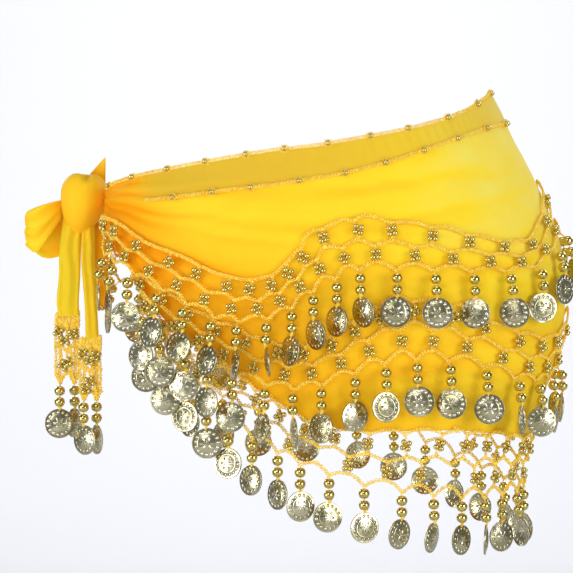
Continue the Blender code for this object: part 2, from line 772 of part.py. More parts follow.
def net_wall(bm, pattern, place):
    """A closed wall from a pattern, open at the roots of its drops.

    place(along, down) gives the inner and the outer point. Returns each root's four vertices.
    """
    inner, outer = {}, {}
    for key, down in pattern.corners.items():
        near, far = place(key[1], down)
        inner[key] = bm.verts.new(near)
        outer[key] = bm.verts.new(far)
    edges = set()
    for keys, rise in pattern.faces:
        bm.faces.new([inner[key] for key in reversed(keys)])
        shell = [outer[key] for key in keys]
        edges.update(zip(keys, keys[1:] + keys[:1]))
        if not rise:
            bm.faces.new(shell)
            continue
        middle = sum((vert.co for vert in shell), Vector()) / len(shell)
        core = sum((inner[key].co for key in keys), Vector()) / len(keys)
        tip = bm.verts.new(middle + (middle - core).normalized() * rise)
        for index, vert in enumerate(shell):
            bm.faces.new((vert, shell[(index + 1) % len(shell)], tip))
    open_edges = {(left, right) for _, left, right in pattern.roots}
    for start, end in edges:
        if (end, start) in edges or (start, end) in open_edges or (end, start) in open_edges:
            continue
        bm.faces.new((outer[end], outer[start], inner[start], inner[end]))
    return {
        column: (outer[left], outer[right], inner[right], inner[left])
        for column, left, right in pattern.roots
    }


def drop_rings(root, along, away, lift, step, turn, resting=None):
    """A drop's rings of four points below its root, with its coin turned about its thread.

    It hangs straight down, or rests on what resting(height) says lies further out below it.
    The step moves the coin out, and the beads less, so that it lies over the next coins.
    """
    start = sum((vert.co for vert in root), Vector()) / 4
    rings = []
    for ring in DROP_RINGS:
        centre = start - Vector((0, 0, ring.fall))
        if resting is not None:
            centre += away * max((resting(centre.z) - centre).dot(away), 0)
        centre += away * (lift * ring.reach + step * ring.turned)
        spin = Matrix.Rotation(math.radians(turn) * ring.turned, 3, "Z")
        across = spin @ along * ring.half_width
        deep = spin @ away * ring.half_depth
        rings.append([centre - across + deep, centre + across + deep,
                      centre + across - deep, centre - across - deep])
    return rings


def tier(name, rows, first, last, hem=None):
    """A strip of net with its drops, on the hip from one column to another."""
    seam = SEAM_GAP / 2 / NARROW_COLUMN
    start = first + (seam if first != rows[0].column or rows[0].top_angle == 180 else 0)
    end = last - (seam if last != rows[-1].column or rows[-1].top_angle == 180 else 0)
    pattern = NetPattern(start, end, FLOWER_HALF_WIDTH)

    def spot(along, down):
        column = read_table(rows, along)
        top = column.top
        if hem is not None:
            top = read_table(hem, column.top_angle).hem + TIER_THREE_LAP
        angle = column.top_angle + (column.low_angle - column.top_angle) * down
        height = top + (column.low - top) * down
        rest = (angle, height) if hem is None else (column.top_angle, top)
        return angle, height, over_cloth(*rest, NET_CLEARANCE) + column.stand * down

    def place(along, down):
        angle, height, out = spot(along, down)
        return on_hip(angle, height, out), on_hip(angle, height, out + NET_THICKNESS)

    bm = bmesh.new()
    roots = net_wall(bm, pattern, place)
    for column, root in roots.items():
        row = read_table(rows, column)
        angle, height, out = spot(column, 1)
        along, away = hip_frame(angle, height)

        def resting(level, angle=angle, out=out + NET_THICKNESS / 2):
            return on_hip(angle, level, out)

        rests = resting if hem is None else None
        step = COIN_STEP * (column % 2)
        rings = drop_rings(root, along, away, row.lift, step, row.turn, rests)
        loft(bm, rings, first=list(root))
    bmesh.ops.recalc_face_normals(bm, faces=bm.faces)
    return add_piece(name, bm, GOLD)


def tail_net(net):
    """The strip of net with drops on the end of a tail."""
    columns = len(net.drops) - 1
    pattern = NetPattern(-TAIL_NET_END, columns + TAIL_NET_END, TAIL_NET_FLOWER)

    def place(along, down):
        share = (along + TAIL_NET_END) / (columns + 2 * TAIL_NET_END)
        x = net.left + (net.right - net.left) * share
        bow = TAIL_NET_BOW * (share - 0.5) ** 2 * down
        y = net.middle + NET_THICKNESS / 2 + bow
        z = net.top + (net.low - net.top) * down
        return Vector((x, y, z)), Vector((x, y - NET_THICKNESS, z))

    bm = bmesh.new()
    roots = net_wall(bm, pattern, place)
    for (_, root), drop in zip(sorted(roots.items()), net.drops):
        rings = drop_rings(root, Vector((1, 0, 0)), Vector((0, -1, 0)), drop.lift, 0, drop.turn)
        loft(bm, rings, first=list(root))
    bmesh.ops.recalc_face_normals(bm, faces=bm.faces)
    return add_piece(net.name, bm, GOLD)


# ---------------------------------------------------------------- the scarf


def clear_scene():
    """Take away whatever the file holds."""
    for item in list(bpy.data.objects):
        bpy.data.objects.remove(item, do_unlink=True)


def build_scarf():
    """Every piece of the scarf."""
    cloth("cloth_front", FRONT_EDGES, CLOTH_FRONT_GRID, CHIFFON)
    cloth("cloth_back", BACK_EDGES, CLOTH_BACK_GRID, CHIFFON)
    waist_chain("waist_chain_front", FRONT_EDGES, 12.5, 179.6, CHAIN_POINTS_FRONT)
    waist_chain("waist_chain_back", BACK_EDGES, 180.4, 354, CHAIN_POINTS_BACK)
    fold_chain("fold_chain_front", FOLD_CHAIN_FRONT, CHAIN_POINTS_FRONT)
    fold_chain("fold_chain_back", FOLD_CHAIN_BACK, CHAIN_POINTS_BACK)
    tier("tier1_net_front", TIER_ONE_FRONT, -0.4, 18.5)
    tier("tier1_net_back", TIER_ONE_BACK, -0.5, 14.4)
    tier("tier2_net_front", TIER_TWO_FRONT, -0.4, 16.5)
    tier("tier2_net_back", TIER_TWO_BACK, -0.5, 11.4)
    for number, (first, last) in enumerate(TIER_THREE_FRONT_ARCS, 1):
        tier(f"tier3_net_front_{number}", TIER_THREE_FRONT, first, last, FRONT_EDGES)
    for number, (first, last) in enumerate(TIER_THREE_BACK_ARCS, 1):
        tier(f"tier3_net_back_{number}", TIER_THREE_BACK, first, last, BACK_EDGES)
    knot()
    knot_tip()
    bow_loop()
    tail("tail_1", TAIL_ONE)
    tail("tail_2", TAIL_TWO)
    tail("tail_3", TAIL_THREE)
    for net in TAIL_NETS:
        tail_net(net)


clear_scene()
build_scarf()
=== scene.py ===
"""Yellow chiffon belly dance hip scarf, tied at one hip, with crocheted nets of beads and coins.

Sizes are in millimetres, and meshes are scaled to metres as they are made; the studio's sizes are
in metres. A place on the hip is an angle round it and a height: the knot is at 0 degrees (-X), the
front at 90 (-Y), the far side at 180 (+X) and the back at 270. The origin is the centre of the
waist opening.
"""

import logging
import math
from dataclasses import dataclass, field
from enum import Enum
from typing import Callable, NamedTuple, Optional, Sequence, Union

import bmesh
import bpy
import numpy as np
from mathutils import Matrix, Vector, noise


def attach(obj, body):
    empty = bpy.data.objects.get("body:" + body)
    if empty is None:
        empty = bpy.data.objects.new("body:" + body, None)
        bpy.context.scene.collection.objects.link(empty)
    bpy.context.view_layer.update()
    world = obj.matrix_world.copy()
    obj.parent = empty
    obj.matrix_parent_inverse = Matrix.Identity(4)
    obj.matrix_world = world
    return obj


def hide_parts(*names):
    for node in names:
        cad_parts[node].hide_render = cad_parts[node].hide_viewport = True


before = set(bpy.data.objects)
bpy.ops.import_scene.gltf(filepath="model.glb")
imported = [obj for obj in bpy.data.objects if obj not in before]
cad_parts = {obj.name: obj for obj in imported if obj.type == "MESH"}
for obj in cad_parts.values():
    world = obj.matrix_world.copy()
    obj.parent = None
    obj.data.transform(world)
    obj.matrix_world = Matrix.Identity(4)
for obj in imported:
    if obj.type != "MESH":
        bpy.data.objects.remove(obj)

LOG = logging.getLogger("hip_scarf")
METRES = 0.001
SIDE_ANGLE = 180.0
UPWARD = Vector((0, 0, 1))

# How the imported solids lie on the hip: the cloth's wall, and what lies over it.
CLOTH_WALL = 1.5
NET_CLEARANCE = 1.0
NET_WALL = 1.8
CHAIN_RADIUS = 1.3
CHAIN_CLEARANCE = 0.9
TIER_THREE_LAP = 1.2

# Radii of the beads, the coins and a drop's thread, and how far out every second coin is stepped.
BIG_BEAD = 4.1
SMALL_BEAD = 2.15
EDGE_BEAD = 2.2
COIN_RADIUS = 11.1
THREAD_RADIUS = 0.55
COIN_STEP = 2.8

# Angles round a small ring of stitches (radians), and how far apart two noise patterns are read.
QUARTER_TURNS = (0.0, 1.57, 3.14, 4.71, 6.28)
SIXTH_TURNS = (0.0, 1.05, 2.1, math.pi, 4.2, 5.25, math.tau)
GRAIN = 7.3

Rows = Sequence[NamedTuple]
Swings = dict[int, tuple[float, float]]
Colour = tuple[float, float, float]
Place = tuple[float, float, float]
Socket = bpy.types.NodeSocket
Value = Union[Socket, float]


class HipSection(NamedTuple):
    """A level section of the hip that the scarf hangs on."""

    height: float
    centre: float
    half_width: float
    front_depth: float
    back_depth: float


class ClothEdge(NamedTuple):
    """The cloth's waist edge and hem at an angle, and how far the knot pulls the cloth out there."""

    angle: float
    waist: float
    hem: float
    pull: float = 0


class Fold(NamedTuple):
    """A fold that runs along the cloth, at a share of its depth at each end."""

    first_angle: float
    last_angle: float
    start: float
    finish: float
    rise: float
    width: float


class ChainPoint(NamedTuple):
    """A place that the second chain passes through."""

    angle: float
    height: float


class NetColumn(NamedTuple):
    """One column of net, with how its foot stands out and how its drop hangs."""

    column: float
    top_angle: float
    top: float
    low_angle: float
    low: float
    stand: float = 0
    lift: float = 0
    turn: float = 0


class TailSection(NamedTuple):
    """A level section of a hanging tail."""

    height: float
    left: float
    right: float
    middle: float
    thickness: float


class LoopStation(NamedTuple):
    """A station round the bow's loop."""

    number: float
    x: float
    y: float
    top: float
    bottom: float


class KnotCrease(NamedTuple):
    """A crease down the knot, at an angle round its top (radians)."""

    angle: float
    depth: float
    width: float


def table(kind: type, *rows: tuple[float, ...]) -> tuple:
    """A table's rows, each as one of its kind, with the kind's own column names."""
    return tuple(kind(*row) for row in rows)


HIP_SECTIONS = table(
    HipSection,
    (-330, 5, 156, 88, 98), (-240, 9, 163, 92, 104), (-200, 14, 169, 96, 112),
    (-160, 21, 176, 100, 124), (-120, 25, 177, 103, 130), (-80, 24, 175, 104, 126),
    (-30, 15, 164, 101, 112), (20, 3, 150, 96, 96), (60, -4, 140, 92, 88),
)

# The cloth's waist edge and hem round the hip, from the knot to the side and back to the knot.
FRONT_EDGES = table(
    ClothEdge,
    (10, -38, -57), (16, -37, -66), (24, -35, -79), (33, -32, -92), (41, -29, -113), (50, -26, -134),
    (60, -22, -151), (70, -18, -170), (81, -13, -191), (89, -10, -206), (96, -6, -214), (110, 1, -215),
    (125, 9, -215), (140, 18, -218), (156, 28, -222), (168, 34, -223), (180, 36, -223),
)
BACK_EDGES = table(
    ClothEdge,
    (180, 36, -223), (192, 34, -222), (205, 29, -216), (222, 17, -204), (240, 6, -188), (262, -4, -171),
    (282, -12, -163), (298, -20, -154), (311, -26, -134), (320, -30, -114), (329, -33, -94),
    (338, -36, -79), (347, -37, -66), (356.5, -38, -57, 0.5),
)

# Folds that run out from the knot. `start` and `finish` say how far down the cloth a fold lies at
# each end, as a share of its depth there.
FRONT_FOLDS = table(
    Fold,
    (12, 72, 0.26, 0.20, 3.6, 0.055), (14, 84, 0.52, 0.44, 6.0, 0.075),
    (20, 118, 0.11, 0.10, 1.8, 0.040), (62, 132, 0.27, 0.21, 2.4, 0.060),
    (92, 168, 0.40, 0.33, 1.8, 0.050), (100, 172, 0.66, 0.60, 2.4, 0.060),
    (88, 160, 0.90, 0.86, 2.0, 0.060), (40, 92, 0.80, 0.74, 1.8, 0.060),
)
BACK_FOLDS = table(
    Fold,
    (350, 292, 0.28, 0.21, 3.4, 0.060), (348, 276, 0.55, 0.42, 4.6, 0.080),
    (340, 248, 0.11, 0.10, 1.6, 0.045), (296, 216, 0.30, 0.24, 2.2, 0.065),
    (270, 192, 0.46, 0.52, 2.0, 0.060), (262, 196, 0.76, 0.70, 2.2, 0.070),
)

# Soft small creases on top of the main folds.
FRONT_CREASES = table(
    Fold,
    (11, 58, 0.40, 0.34, -0.9, 0.030), (11, 50, 0.66, 0.62, 1.0, 0.035),
    (12, 66, 0.16, 0.13, 0.8, 0.028), (14, 96, 0.34, 0.255, -0.8, 0.028),
    (30, 104, 0.60, 0.50, -0.9, 0.040), (58, 122, 0.36, 0.31, 0.7, 0.026),
    (84, 150, 0.18, 0.15, -0.6, 0.024), (96, 176, 0.25, 0.21, 0.7, 0.028),
    (108, 168, 0.50, 0.45, -0.8, 0.034), (120, 178, 0.76, 0.79, 0.8, 0.036),
    (96, 140, 0.80, 0.77, -0.7, 0.030), (134, 178, 0.58, 0.52, 0.6, 0.026),
)
BACK_CREASES = table(
    Fold,
    (354, 306, 0.40, 0.36, -0.9, 0.032), (354, 298, 0.68, 0.60, 1.0, 0.040),
    (352, 286, 0.17, 0.14, 0.7, 0.030), (336, 262, 0.46, 0.34, -0.7, 0.034),
    (300, 236, 0.62, 0.56, 0.8, 0.036), (282, 206, 0.20, 0.17, -0.6, 0.026),
    (262, 190, 0.36, 0.40, 0.7, 0.032), (244, 186, 0.86, 0.82, -0.7, 0.036),
    (222, 184, 0.58, 0.60, 0.7, 0.030),
)
KNOT_CREASES = table(
    KnotCrease,
    (-1.57, 0.055, 0.20), (-1.05, 0.035, 0.15), (-2.15, 0.040, 0.17), (-0.45, 0.045, 0.16),
    (0.35, 0.035, 0.2), (1.2, 0.050, 0.2), (2.2, 0.040, 0.22), (3.05, 0.035, 0.18),
)

# The second beaded chain, where the waist edge is turned over.
FOLD_CHAIN_FRONT = table(
    ChainPoint,
    (44, -47), (58, -44), (70, -40), (84, -35), (99, -25), (112, -15), (130, -2), (150, 8), (179.6, 14),
)
FOLD_CHAIN_BACK = table(
    ChainPoint,
    (180.4, 14), (208, 7), (230, -8), (254, -21), (276, -33), (298, -42), (316, -47),
)

# The tiers of net. A row is one column of net, counted from the tier's first drop: where its top
# and its lowest point lie, how far its foot stands out over the tier below, how far its drop
# stands out from that foot, and how far its coin turns about its thread.
TIER_ONE_FRONT = table(
    NetColumn,
    (-0.4, 24, -57, 23, -85, 5, 9), (0, 27, -58, 26, -88, 5, 9, 4),
    (1, 33, -62, 31.5, -93.5, 5, 9, -12), (2, 42, -72.5, 40.5, -103, 5, 9),
    (3, 52, -84, 50.5, -114, 5, 9, 10), (4, 60.5, -93.5, 58, -124.5, 5, 9, 3),
    (5, 68.5, -101.5, 65.5, -134, 5, 9, -6), (6, 74, -104.5, 71.5, -137, 3, 7, -2),
    (7, 78.5, -101, 78, -135, 1, 6, 4), (8, 81.5, -92.5, 83, -127, 0, 5, 2),
    (9, 84.5, -81, 87, -115.5, 0, 5, -4), (10, 88.5, -65.5, 90.5, -106, 0, 5, 2),
    (11, 94.5, -60, 94.5, -99.5, 0, 5, -4), (13, 111, -66, 111, -100, 0, 5, 8),
    (15, 132, -76, 132.5, -100, 0, 5, -8), (16, 143, -74, 145, -96.5, 0, 5, 12),
    (17, 156, -57, 157, -83, 0, 5, -16), (18, 171, -37, 171, -71, 0, 5, 10),
    (18.5, 180, -30, 180, -66, 0, 5),
)
TIER_ONE_BACK = table(
    NetColumn,
    (-0.5, 180, -30, 180, -66, 0, 5), (0, 188, -36, 188, -71, 0, 5, -8),
    (1, 203, -52, 203, -85, 0, 5, 14), (3, 228, -69, 228, -104, 0, 5, -10),
    (6, 258, -60, 259, -100, 0, 5, 12), (8, 277, -66, 279, -106, 3, 5.5, 4),
    (9, 287, -72, 289, -112, 5, 7, -10), (11, 306, -82, 309, -120, 6.5, 7, 8),
    (13, 328, -72, 331, -107, 6, 7, -8), (14, 339, -62, 343, -96, 5, 8, 6),
    (14.4, 343.5, -59, 348, -92, 5, 8),
)
TIER_TWO_FRONT = table(
    NetColumn,
    (-0.4, 38, -97, 41.5, -125, 7.5, 0.5), (0, 41, -101.5, 45, -131, 7.5, 0.5),
    (1, 50, -112.5, 51.5, -142.5, 7.5, 0.5), (2, 58, -123.5, 59, -153, 7.5, 0.5),
    (3, 66, -134, 65.5, -164, 6.3, 1.6), (4, 74, -143.5, 71.5, -175, 4.5, 3),
    (5, 81, -149.5, 79.3, -182.5, 2, 4), (6, 86.5, -151, 85.3, -186, 0, 4.5),
    (7, 90.5, -144, 90, -182.5, 0, 4.5, -4), (8, 93.5, -133, 95.5, -174.5, 0, 4.5, 6),
    (9, 98.5, -122, 101.5, -167.5, 0, 4.5, -14), (10, 105.5, -116, 108.5, -164, 0, 4.5, 8),
    (11, 115, -122, 117, -165.5, 0, 4.5, -6), (12, 125.5, -133, 128, -170, 0, 4.5, 12),
    (13, 137, -142, 141, -178.5, 0, 6, 30), (14, 149, -147, 153, -181, 0, 4.5, -8),
    (15, 160, -144, 163, -179, 0, 4.5, 8), (16, 172, -133, 173, -172, 0, 4.5, 6),
    (16.5, 180, -127, 180, -168, 0, 4.5),
)
TIER_TWO_BACK = table(
    NetColumn,
    (-0.5, 180, -127, 180, -168, 0, 4.5), (0, 189, -133, 189, -173, 0, 4.5, 10),
    (1, 204, -138, 204, -177, 0, 4.5, -12), (3, 229, -127, 230, -167, 0, 4.5, 8),
    (6, 262, -108, 262, -149, 0, 4.5, -10), (8, 283, -110, 284, -151, 0, 4.5, 14),
    (10, 303, -115, 303, -152, 7, 0.5, -8), (11, 313, -107, 312, -143, 7, 0.5, 6),
    (11.4, 317, -103, 316, -138, 7, 0.5),
)
TIER_THREE_FRONT = table(
    NetColumn,
    (-0.4, 41, -113, 42.5, -141), (0, 43, -118, 45.2, -147), (1, 50, -134, 52, -163.5, 0, 0, -8),
    (2, 57.5, -147, 58.5, -175.5), (3, 65, -160.5, 65.2, -194.5), (4, 71, -172, 71.3, -209),
    (5, 77, -184, 77.6, -221), (6, 83, -195, 83.7, -231.5), (8, 94, -212, 93.5, -248),
    (9, 102.5, -214.5, 101.5, -255.5, 0, 0, -8), (10, 111, -214.5, 111.5, -261, 0, 0, 42),
    (11, 120, -214.5, 121, -264, 0, 0, 68), (12, 129, -215.5, 131, -266.5, 0, 0, 74),
    (13, 137, -217, 140.5, -267, 0, 0, -72), (14, 146, -219.5, 150, -266, 0, 0, -14),
    (15, 157, -222, 161, -263.5, 0, 0, 62), (16, 169, -223, 171, -262, 0, 0, 48),
    (16.5, 180, -223, 180, -261),
)
TIER_THREE_BACK = table(
    NetColumn,
    (-0.5, 180, -223, 180, -261), (0, 188, -222, 188, -262, 0, 0, 18),
    (1, 203, -217, 203, -261, 0, 0, -22), (3, 227, -200, 228, -245, 0, 0, 16),
    (6, 260, -172, 260, -216, 0, 0, -14), (8, 281, -163, 282, -206, 0, 0, 24),
    (10, 301, -151, 302, -190, 0, 0, -16), (11, 311, -134, 311, -170, 0, 0, 12),
    (11.4, 315, -125, 314.5, -161),
)
TIER_THREE_FRONT_ARCS = ((-0.4, 3.5), (3.5, 7.5), (7.5, 11.5), (11.5, 16.5))
TIER_THREE_BACK_ARCS = ((-0.5, 3.5), (3.5, 7.5), (7.5, 11.4))

# The hanging tails from top to bottom, and the bow's loop from the knot out and back to it.
TAIL_ONE = table(
    TailSection,
    (-52, -176.5, -164, -11, 8), (-66.4, -178, -162.5, -14, 7), (-84, -179.5, -163, -16, 5.5),
    (-104, -180, -163.5, -16, 5), (-122, -181.5, -164.5, -15.5, 4.5), (-132, -180, -164, -15, 3),
)
TAIL_TWO = table(
    TailSection,
    (-56, -162.8, -153.5, -14, 7), (-66.4, -162.2, -152.5, -18, 6), (-92, -162.5, -152, -20, 5),
    (-122, -160, -150.5, -21, 4.5), (-150, -159, -149, -21.5, 3),
)
TAIL_THREE = table(
    TailSection,
    (-57, -157, -150, -7, 5), (-66.4, -155.5, -147.5, -8, 4.5), (-84, -154, -143, -9, 4),
    (-106, -153, -142.5, -10, 4), (-125, -152.5, -142, -11, 3),
)
BOW_LOOP = table(
    LoopStation,
    (0, -178.2, -17, -45, -59), (1, -186, -22, -47, -72), (2, -195, -24, -50, -84),
    (3, -203, -20, -53, -80), (4, -204.5, -13, -54, -78), (5, -202, -6, -52, -81),
    (6, -194, -3, -49, -87.5), (7, -186, -3.5, -46, -88.5), (8, -176.5, -5, -44, -86),
)

# How far each coin has swung round its thread and to its side, in degrees, by column.
TIER_ONE_SWINGS = {
    0: (-32, 2), 1: (-20, -3), 2: (22, 4), 3: (-28, 15), 4: (-29, 12), 5: (-30, 14), 6: (-65, 4),
    7: (-79, -2), 8: (-55, 8), 9: (-45, -4), 10: (-52, 5), 11: (-45, -4), 12: (-12, 3), 13: (-29, -4),
    14: (-31, 4), 15: (-34, -3), 16: (-37, 5), 17: (9, 2), 18: (16, -5),
}
TIER_TWO_SWINGS = {
    0: (-11, 3), 1: (11, -5), 2: (-6, 6), 3: (-30, 3), 4: (-9, 5), 5: (-58, 11), 6: (-80, -2),
    7: (-39, 4), 8: (22, -3), 9: (36, 5), 10: (-23, -5), 11: (-24, 3), 12: (-38, -4), 13: (8, 0),
    14: (-35, 4),
}
BACK_SWINGS = {
    1: (12, 4), 2: (-36, -5), 3: (8, -3), 4: (48, 6), 5: (-10, 4), 6: (14, -6), 7: (-46, 3),
    8: (62, -4), 9: (10, 5), 10: (-30, -3), 11: (54, 4), 12: (-50, -6), 13: (40, 5), 14: (2, 3),
}
TIER_THREE_SWINGS = {
    "front": {
        0: (25, 4), 1: (14, -5), 2: (-13, 3), 3: (10, -4), 4: (-13, 5), 5: (-40, 6), 6: (-48, 4),
        7: (27, -3), 8: (18, 5), 9: (22, -4), 10: (-10, 5), 11: (-25, 8), 12: (-46, 0), 13: (117, 1),
    },
    "back": {
        1: (18, -4), 3: (-38, 5), 4: (12, 3), 6: (44, -5), 8: (-16, 4), 9: (30, -3), 10: (-52, 4),
    },
}

# Where each line of the net lies, as a share of the net's height.
TOP_RISE, TOP_LINE = -0.005, 0.075
FIRST_ARCH, FIRST_DIP = 0.40, 0.505
SECOND_ARCH, SECOND_DIP = 0.82, 0.98
FIRST_FLOWER, SECOND_FLOWER = 0.232, 0.675

# A drop's thread below the net: how far down each knot of it lies (mm), and what shares of the
# drop's lift and of its step it has there. Then where its coin's top and foot lie.
DROP_KNOTS = ((-1.5, 0.0, 0.0), (4.6, 0.86, 0.2), (12.9, 0.96, 0.6), (19.4, 1.0, 1.0))
COIN_TOP, COIN_FOOT = 18.0, 40.2


# ---------------------------------------------------------------- reading the tables


def slope(rows: Rows, index: int, column: int) -> float:
    """How fast a table's column changes at a row, from the rows on both sides of it."""
    before = rows[max(index - 1, 0)]
    after = rows[min(index + 1, len(rows) - 1)]
    return (after[column] - before[column]) / (after[0] - before[0])


def read_table(rows: Rows, at: float) -> NamedTuple:
    """All columns of a table at a value of its first one.

    Args:
        rows: the table, in order of its first column.
        at: the value of the first column.

    Returns:
        A row of the table's own kind, on a smooth curve through the rows.
    """
    if rows[0][0] > rows[-1][0]:
        rows = tuple(reversed(rows))
    at = min(max(at, rows[0][0]), rows[-1][0])
    index = 0
    while index < len(rows) - 2 and rows[index + 1][0] <= at:
        index += 1
    low, high = rows[index], rows[index + 1]
    span = high[0] - low[0]
    t = (at - low[0]) / span
    values = [at]
    for column in range(1, len(low)):
        leaving = slope(rows, index, column) * span
        arriving = slope(rows, index + 1, column) * span
        values.append(
            low[column] * (1 + 2 * t) * (1 - t) ** 2
            + leaving * t * (1 - t) ** 2
            + high[column] * t * t * (3 - 2 * t)
            - arriving * t * t * (1 - t)
        )
    return type(low)(*values)


def on_side(angle: float, front: Rows, back: Rows) -> Rows:
    """The front's or the back's table, by the angle round the hip."""
    return front if angle <= SIDE_ANGLE else back


def from_knot(angle: float) -> float:
    """How far round the hip a place is from the knot, in degrees."""
    return min(angle, 360 - angle)


def signed_power(value: float, power: float) -> float:
    """A power that keeps its value's sign."""
    return math.copysign(abs(value) ** power, value)


def rising(low: float, high: float, value: float) -> float:
    """A smooth rise from 0 at low to 1 at high."""
    t = min(max((value - low) / (high - low), 0.0), 1.0)
    return t * t * (3 - 2 * t)


def fading(low: float, high: float, value: float) -> float:
    """A smooth fall from 1 at low to 0 at high."""
    return 1 - rising(low, high, value)


def bump_at(offset: float, width: float) -> float:
    """A smooth hump of height 1 and a width, at an offset from its middle."""
    return math.exp(-((offset / width) ** 2))


# ---------------------------------------------------------------- the form of the worn cloth


@dataclass
class HipForm:
    """The form that the cloth has on a general hip, with its folds and creases.

    A net or a chain lies on the highest fold within `reach_angle` and `reach_height` of a place.
    """

    roundness: float = 2.3
    reach_angle: float = 3.0
    reach_height: float = 6.0
    gather_depth: float = 3.8
    gather_span: tuple[float, float] = (11, 29)
    bunch_span: tuple[float, float] = (18, 74)
    pleats: float = 26
    pleat_power: float = 0.6
    pleat_rise: float = 0.8
    ripple_rise: float = 0.22
    drift_rise: float = 0.55
    fine_drift_rise: float = 0.25
    side_swell: float = 1.2
    pucker_rise: float = 0.28
    crease_limits: tuple[float, float] = (-0.9, 1.7)
    known: dict[tuple[float, float], float] = field(default_factory=dict)

    def point(self, angle: float, height: float, outward: float) -> Vector:
        """The point at an angle and a height, moved out from the hip."""
        section = read_table(HIP_SECTIONS, height)
        cosine, sine = math.cos(math.radians(angle)), math.sin(math.radians(angle))
        depth = section.front_depth if sine >= 0 else section.back_depth
        reach = 2 / self.roundness
        x = section.centre - section.half_width * signed_power(cosine, reach)
        y = -depth * signed_power(sine, reach)
        normal = Vector((
            -signed_power(cosine, 2 - reach) / section.half_width,
            -signed_power(sine, 2 - reach) / depth,
            0,
        )).normalized()
        return Vector((x, y, height)) + normal * outward

    def axes(self, angle: float, height: float) -> tuple[Vector, Vector]:
        """The directions along the hip and away from it at a place."""
        away = (self.point(angle, height, 1) - self.point(angle, height, 0)).normalized()
        return UPWARD.cross(away).normalized(), away

    @staticmethod
    def edge(angle: float) -> ClothEdge:
        """The cloth's waist edge and hem at an angle."""
        return read_table(on_side(angle, FRONT_EDGES, BACK_EDGES), angle)

    def depth_share(self, angle: float, height: float) -> tuple[float, ClothEdge]:
        """How far down the cloth a height lies, from 0 to 1, and the cloth's edges there."""
        edge = self.edge(angle)
        return (edge.waist - height) / (edge.waist - edge.hem), edge

    @staticmethod
    def rise_of(folds: Sequence[Fold], angle: float, down: float) -> float:
        """The sum of a table's folds at a place; each swells fast and dies away slowly."""
        total = 0.0
        for fold in folds:
            along = (angle - fold.first_angle) / (fold.last_angle - fold.first_angle)
            if not 0 < along < 1:
                continue
            line = fold.start + (fold.finish - fold.start) * along
            strength = math.sin(math.pi * min(along * 2.5, 0.5 + (along - 0.2) * 0.625)) ** 2
            total += fold.rise * strength * bump_at(down - line, fold.width)
        return total

    def relief(self, angle: float, height: float) -> float:
        """How far the cloth's main folds stand out from the hip at a place."""
        down, edge = self.depth_share(angle, height)
        folds = on_side(angle, FRONT_FOLDS, BACK_FOLDS)
        return max(edge.pull + self.rise_of(folds, angle, down), 0)

    def pleating(self, angle: float, down: float) -> float:
        """The sharp pleats that run into the knot, with a ripple over them."""
        bunch = fading(*self.bunch_span, from_knot(angle))
        turn = down * self.pleats + 0.7 * noise.noise(Vector((angle * 0.05, down * 3, 1.7)))
        pleat = 2 * abs(math.sin(turn / 2)) ** self.pleat_power - 1
        return self.pleat_rise * bunch * pleat + self.ripple_rise * bunch * math.sin(turn * 2.3 + 1)

    def puckers(self, angle: float, down: float) -> float:
        """The small puckers where stitching draws in the waist edge and the hem."""
        near_edge = bump_at(down - 0.02, 0.05) + 0.6 * bump_at(down - 0.98, 0.04)
        wander = 3 * noise.noise(Vector((angle * 0.11, 0, 2)))
        return self.pucker_rise * near_edge * math.sin(angle * 1.9 + wander)

    def creases(self, angle: float, height: float) -> float:
        """The soft small creases on top of the main folds, by which the cloth looks pulled."""
        down = self.depth_share(angle, height)[0]
        drift = Vector((angle * 0.06, height * 0.035, 5.1))
        out = self.rise_of(on_side(angle, FRONT_CREASES, BACK_CREASES), angle, down)
        out += self.pleating(angle, down)
        out += self.drift_rise * noise.noise(drift) + self.fine_drift_rise * noise.noise(drift * 2.7)
        out += self.side_swell * math.exp(-((angle - 181) / 16) ** 2 - ((down - 0.06) / 0.05) ** 2)
        out += self.puckers(angle, down)
        least, most = self.crease_limits
        return max(min(out, most), least)

    def surface(self, angle: float, height: float) -> float:
        """How far the cloth stands out at a place with its folds and its creases."""
        return self.relief(angle, height) + self.creases(angle, height)

    def gather(self, angle: float) -> float:
        """How far in the cloth draws as it runs into the knot."""
        return self.gather_depth * fading(*self.gather_span, from_knot(angle))

    def over_cloth(self, angle: float, height: float, gap: float) -> float:
        """How far out something lies that rests over the cloth with a gap."""
        key = (round(angle, 3), round(height, 2))
        if key not in self.known:
            self.known[key] = max(
                self.relief(angle + a * self.reach_angle, height + h * self.reach_height)
                for a in (-1, 0, 1)
                for h in (-1, -0.5, 0, 0.5, 1)
            )
        return self.known[key] + CLOTH_WALL + gap


HIP = HipForm()


# ---------------------------------------------------------------- finishes


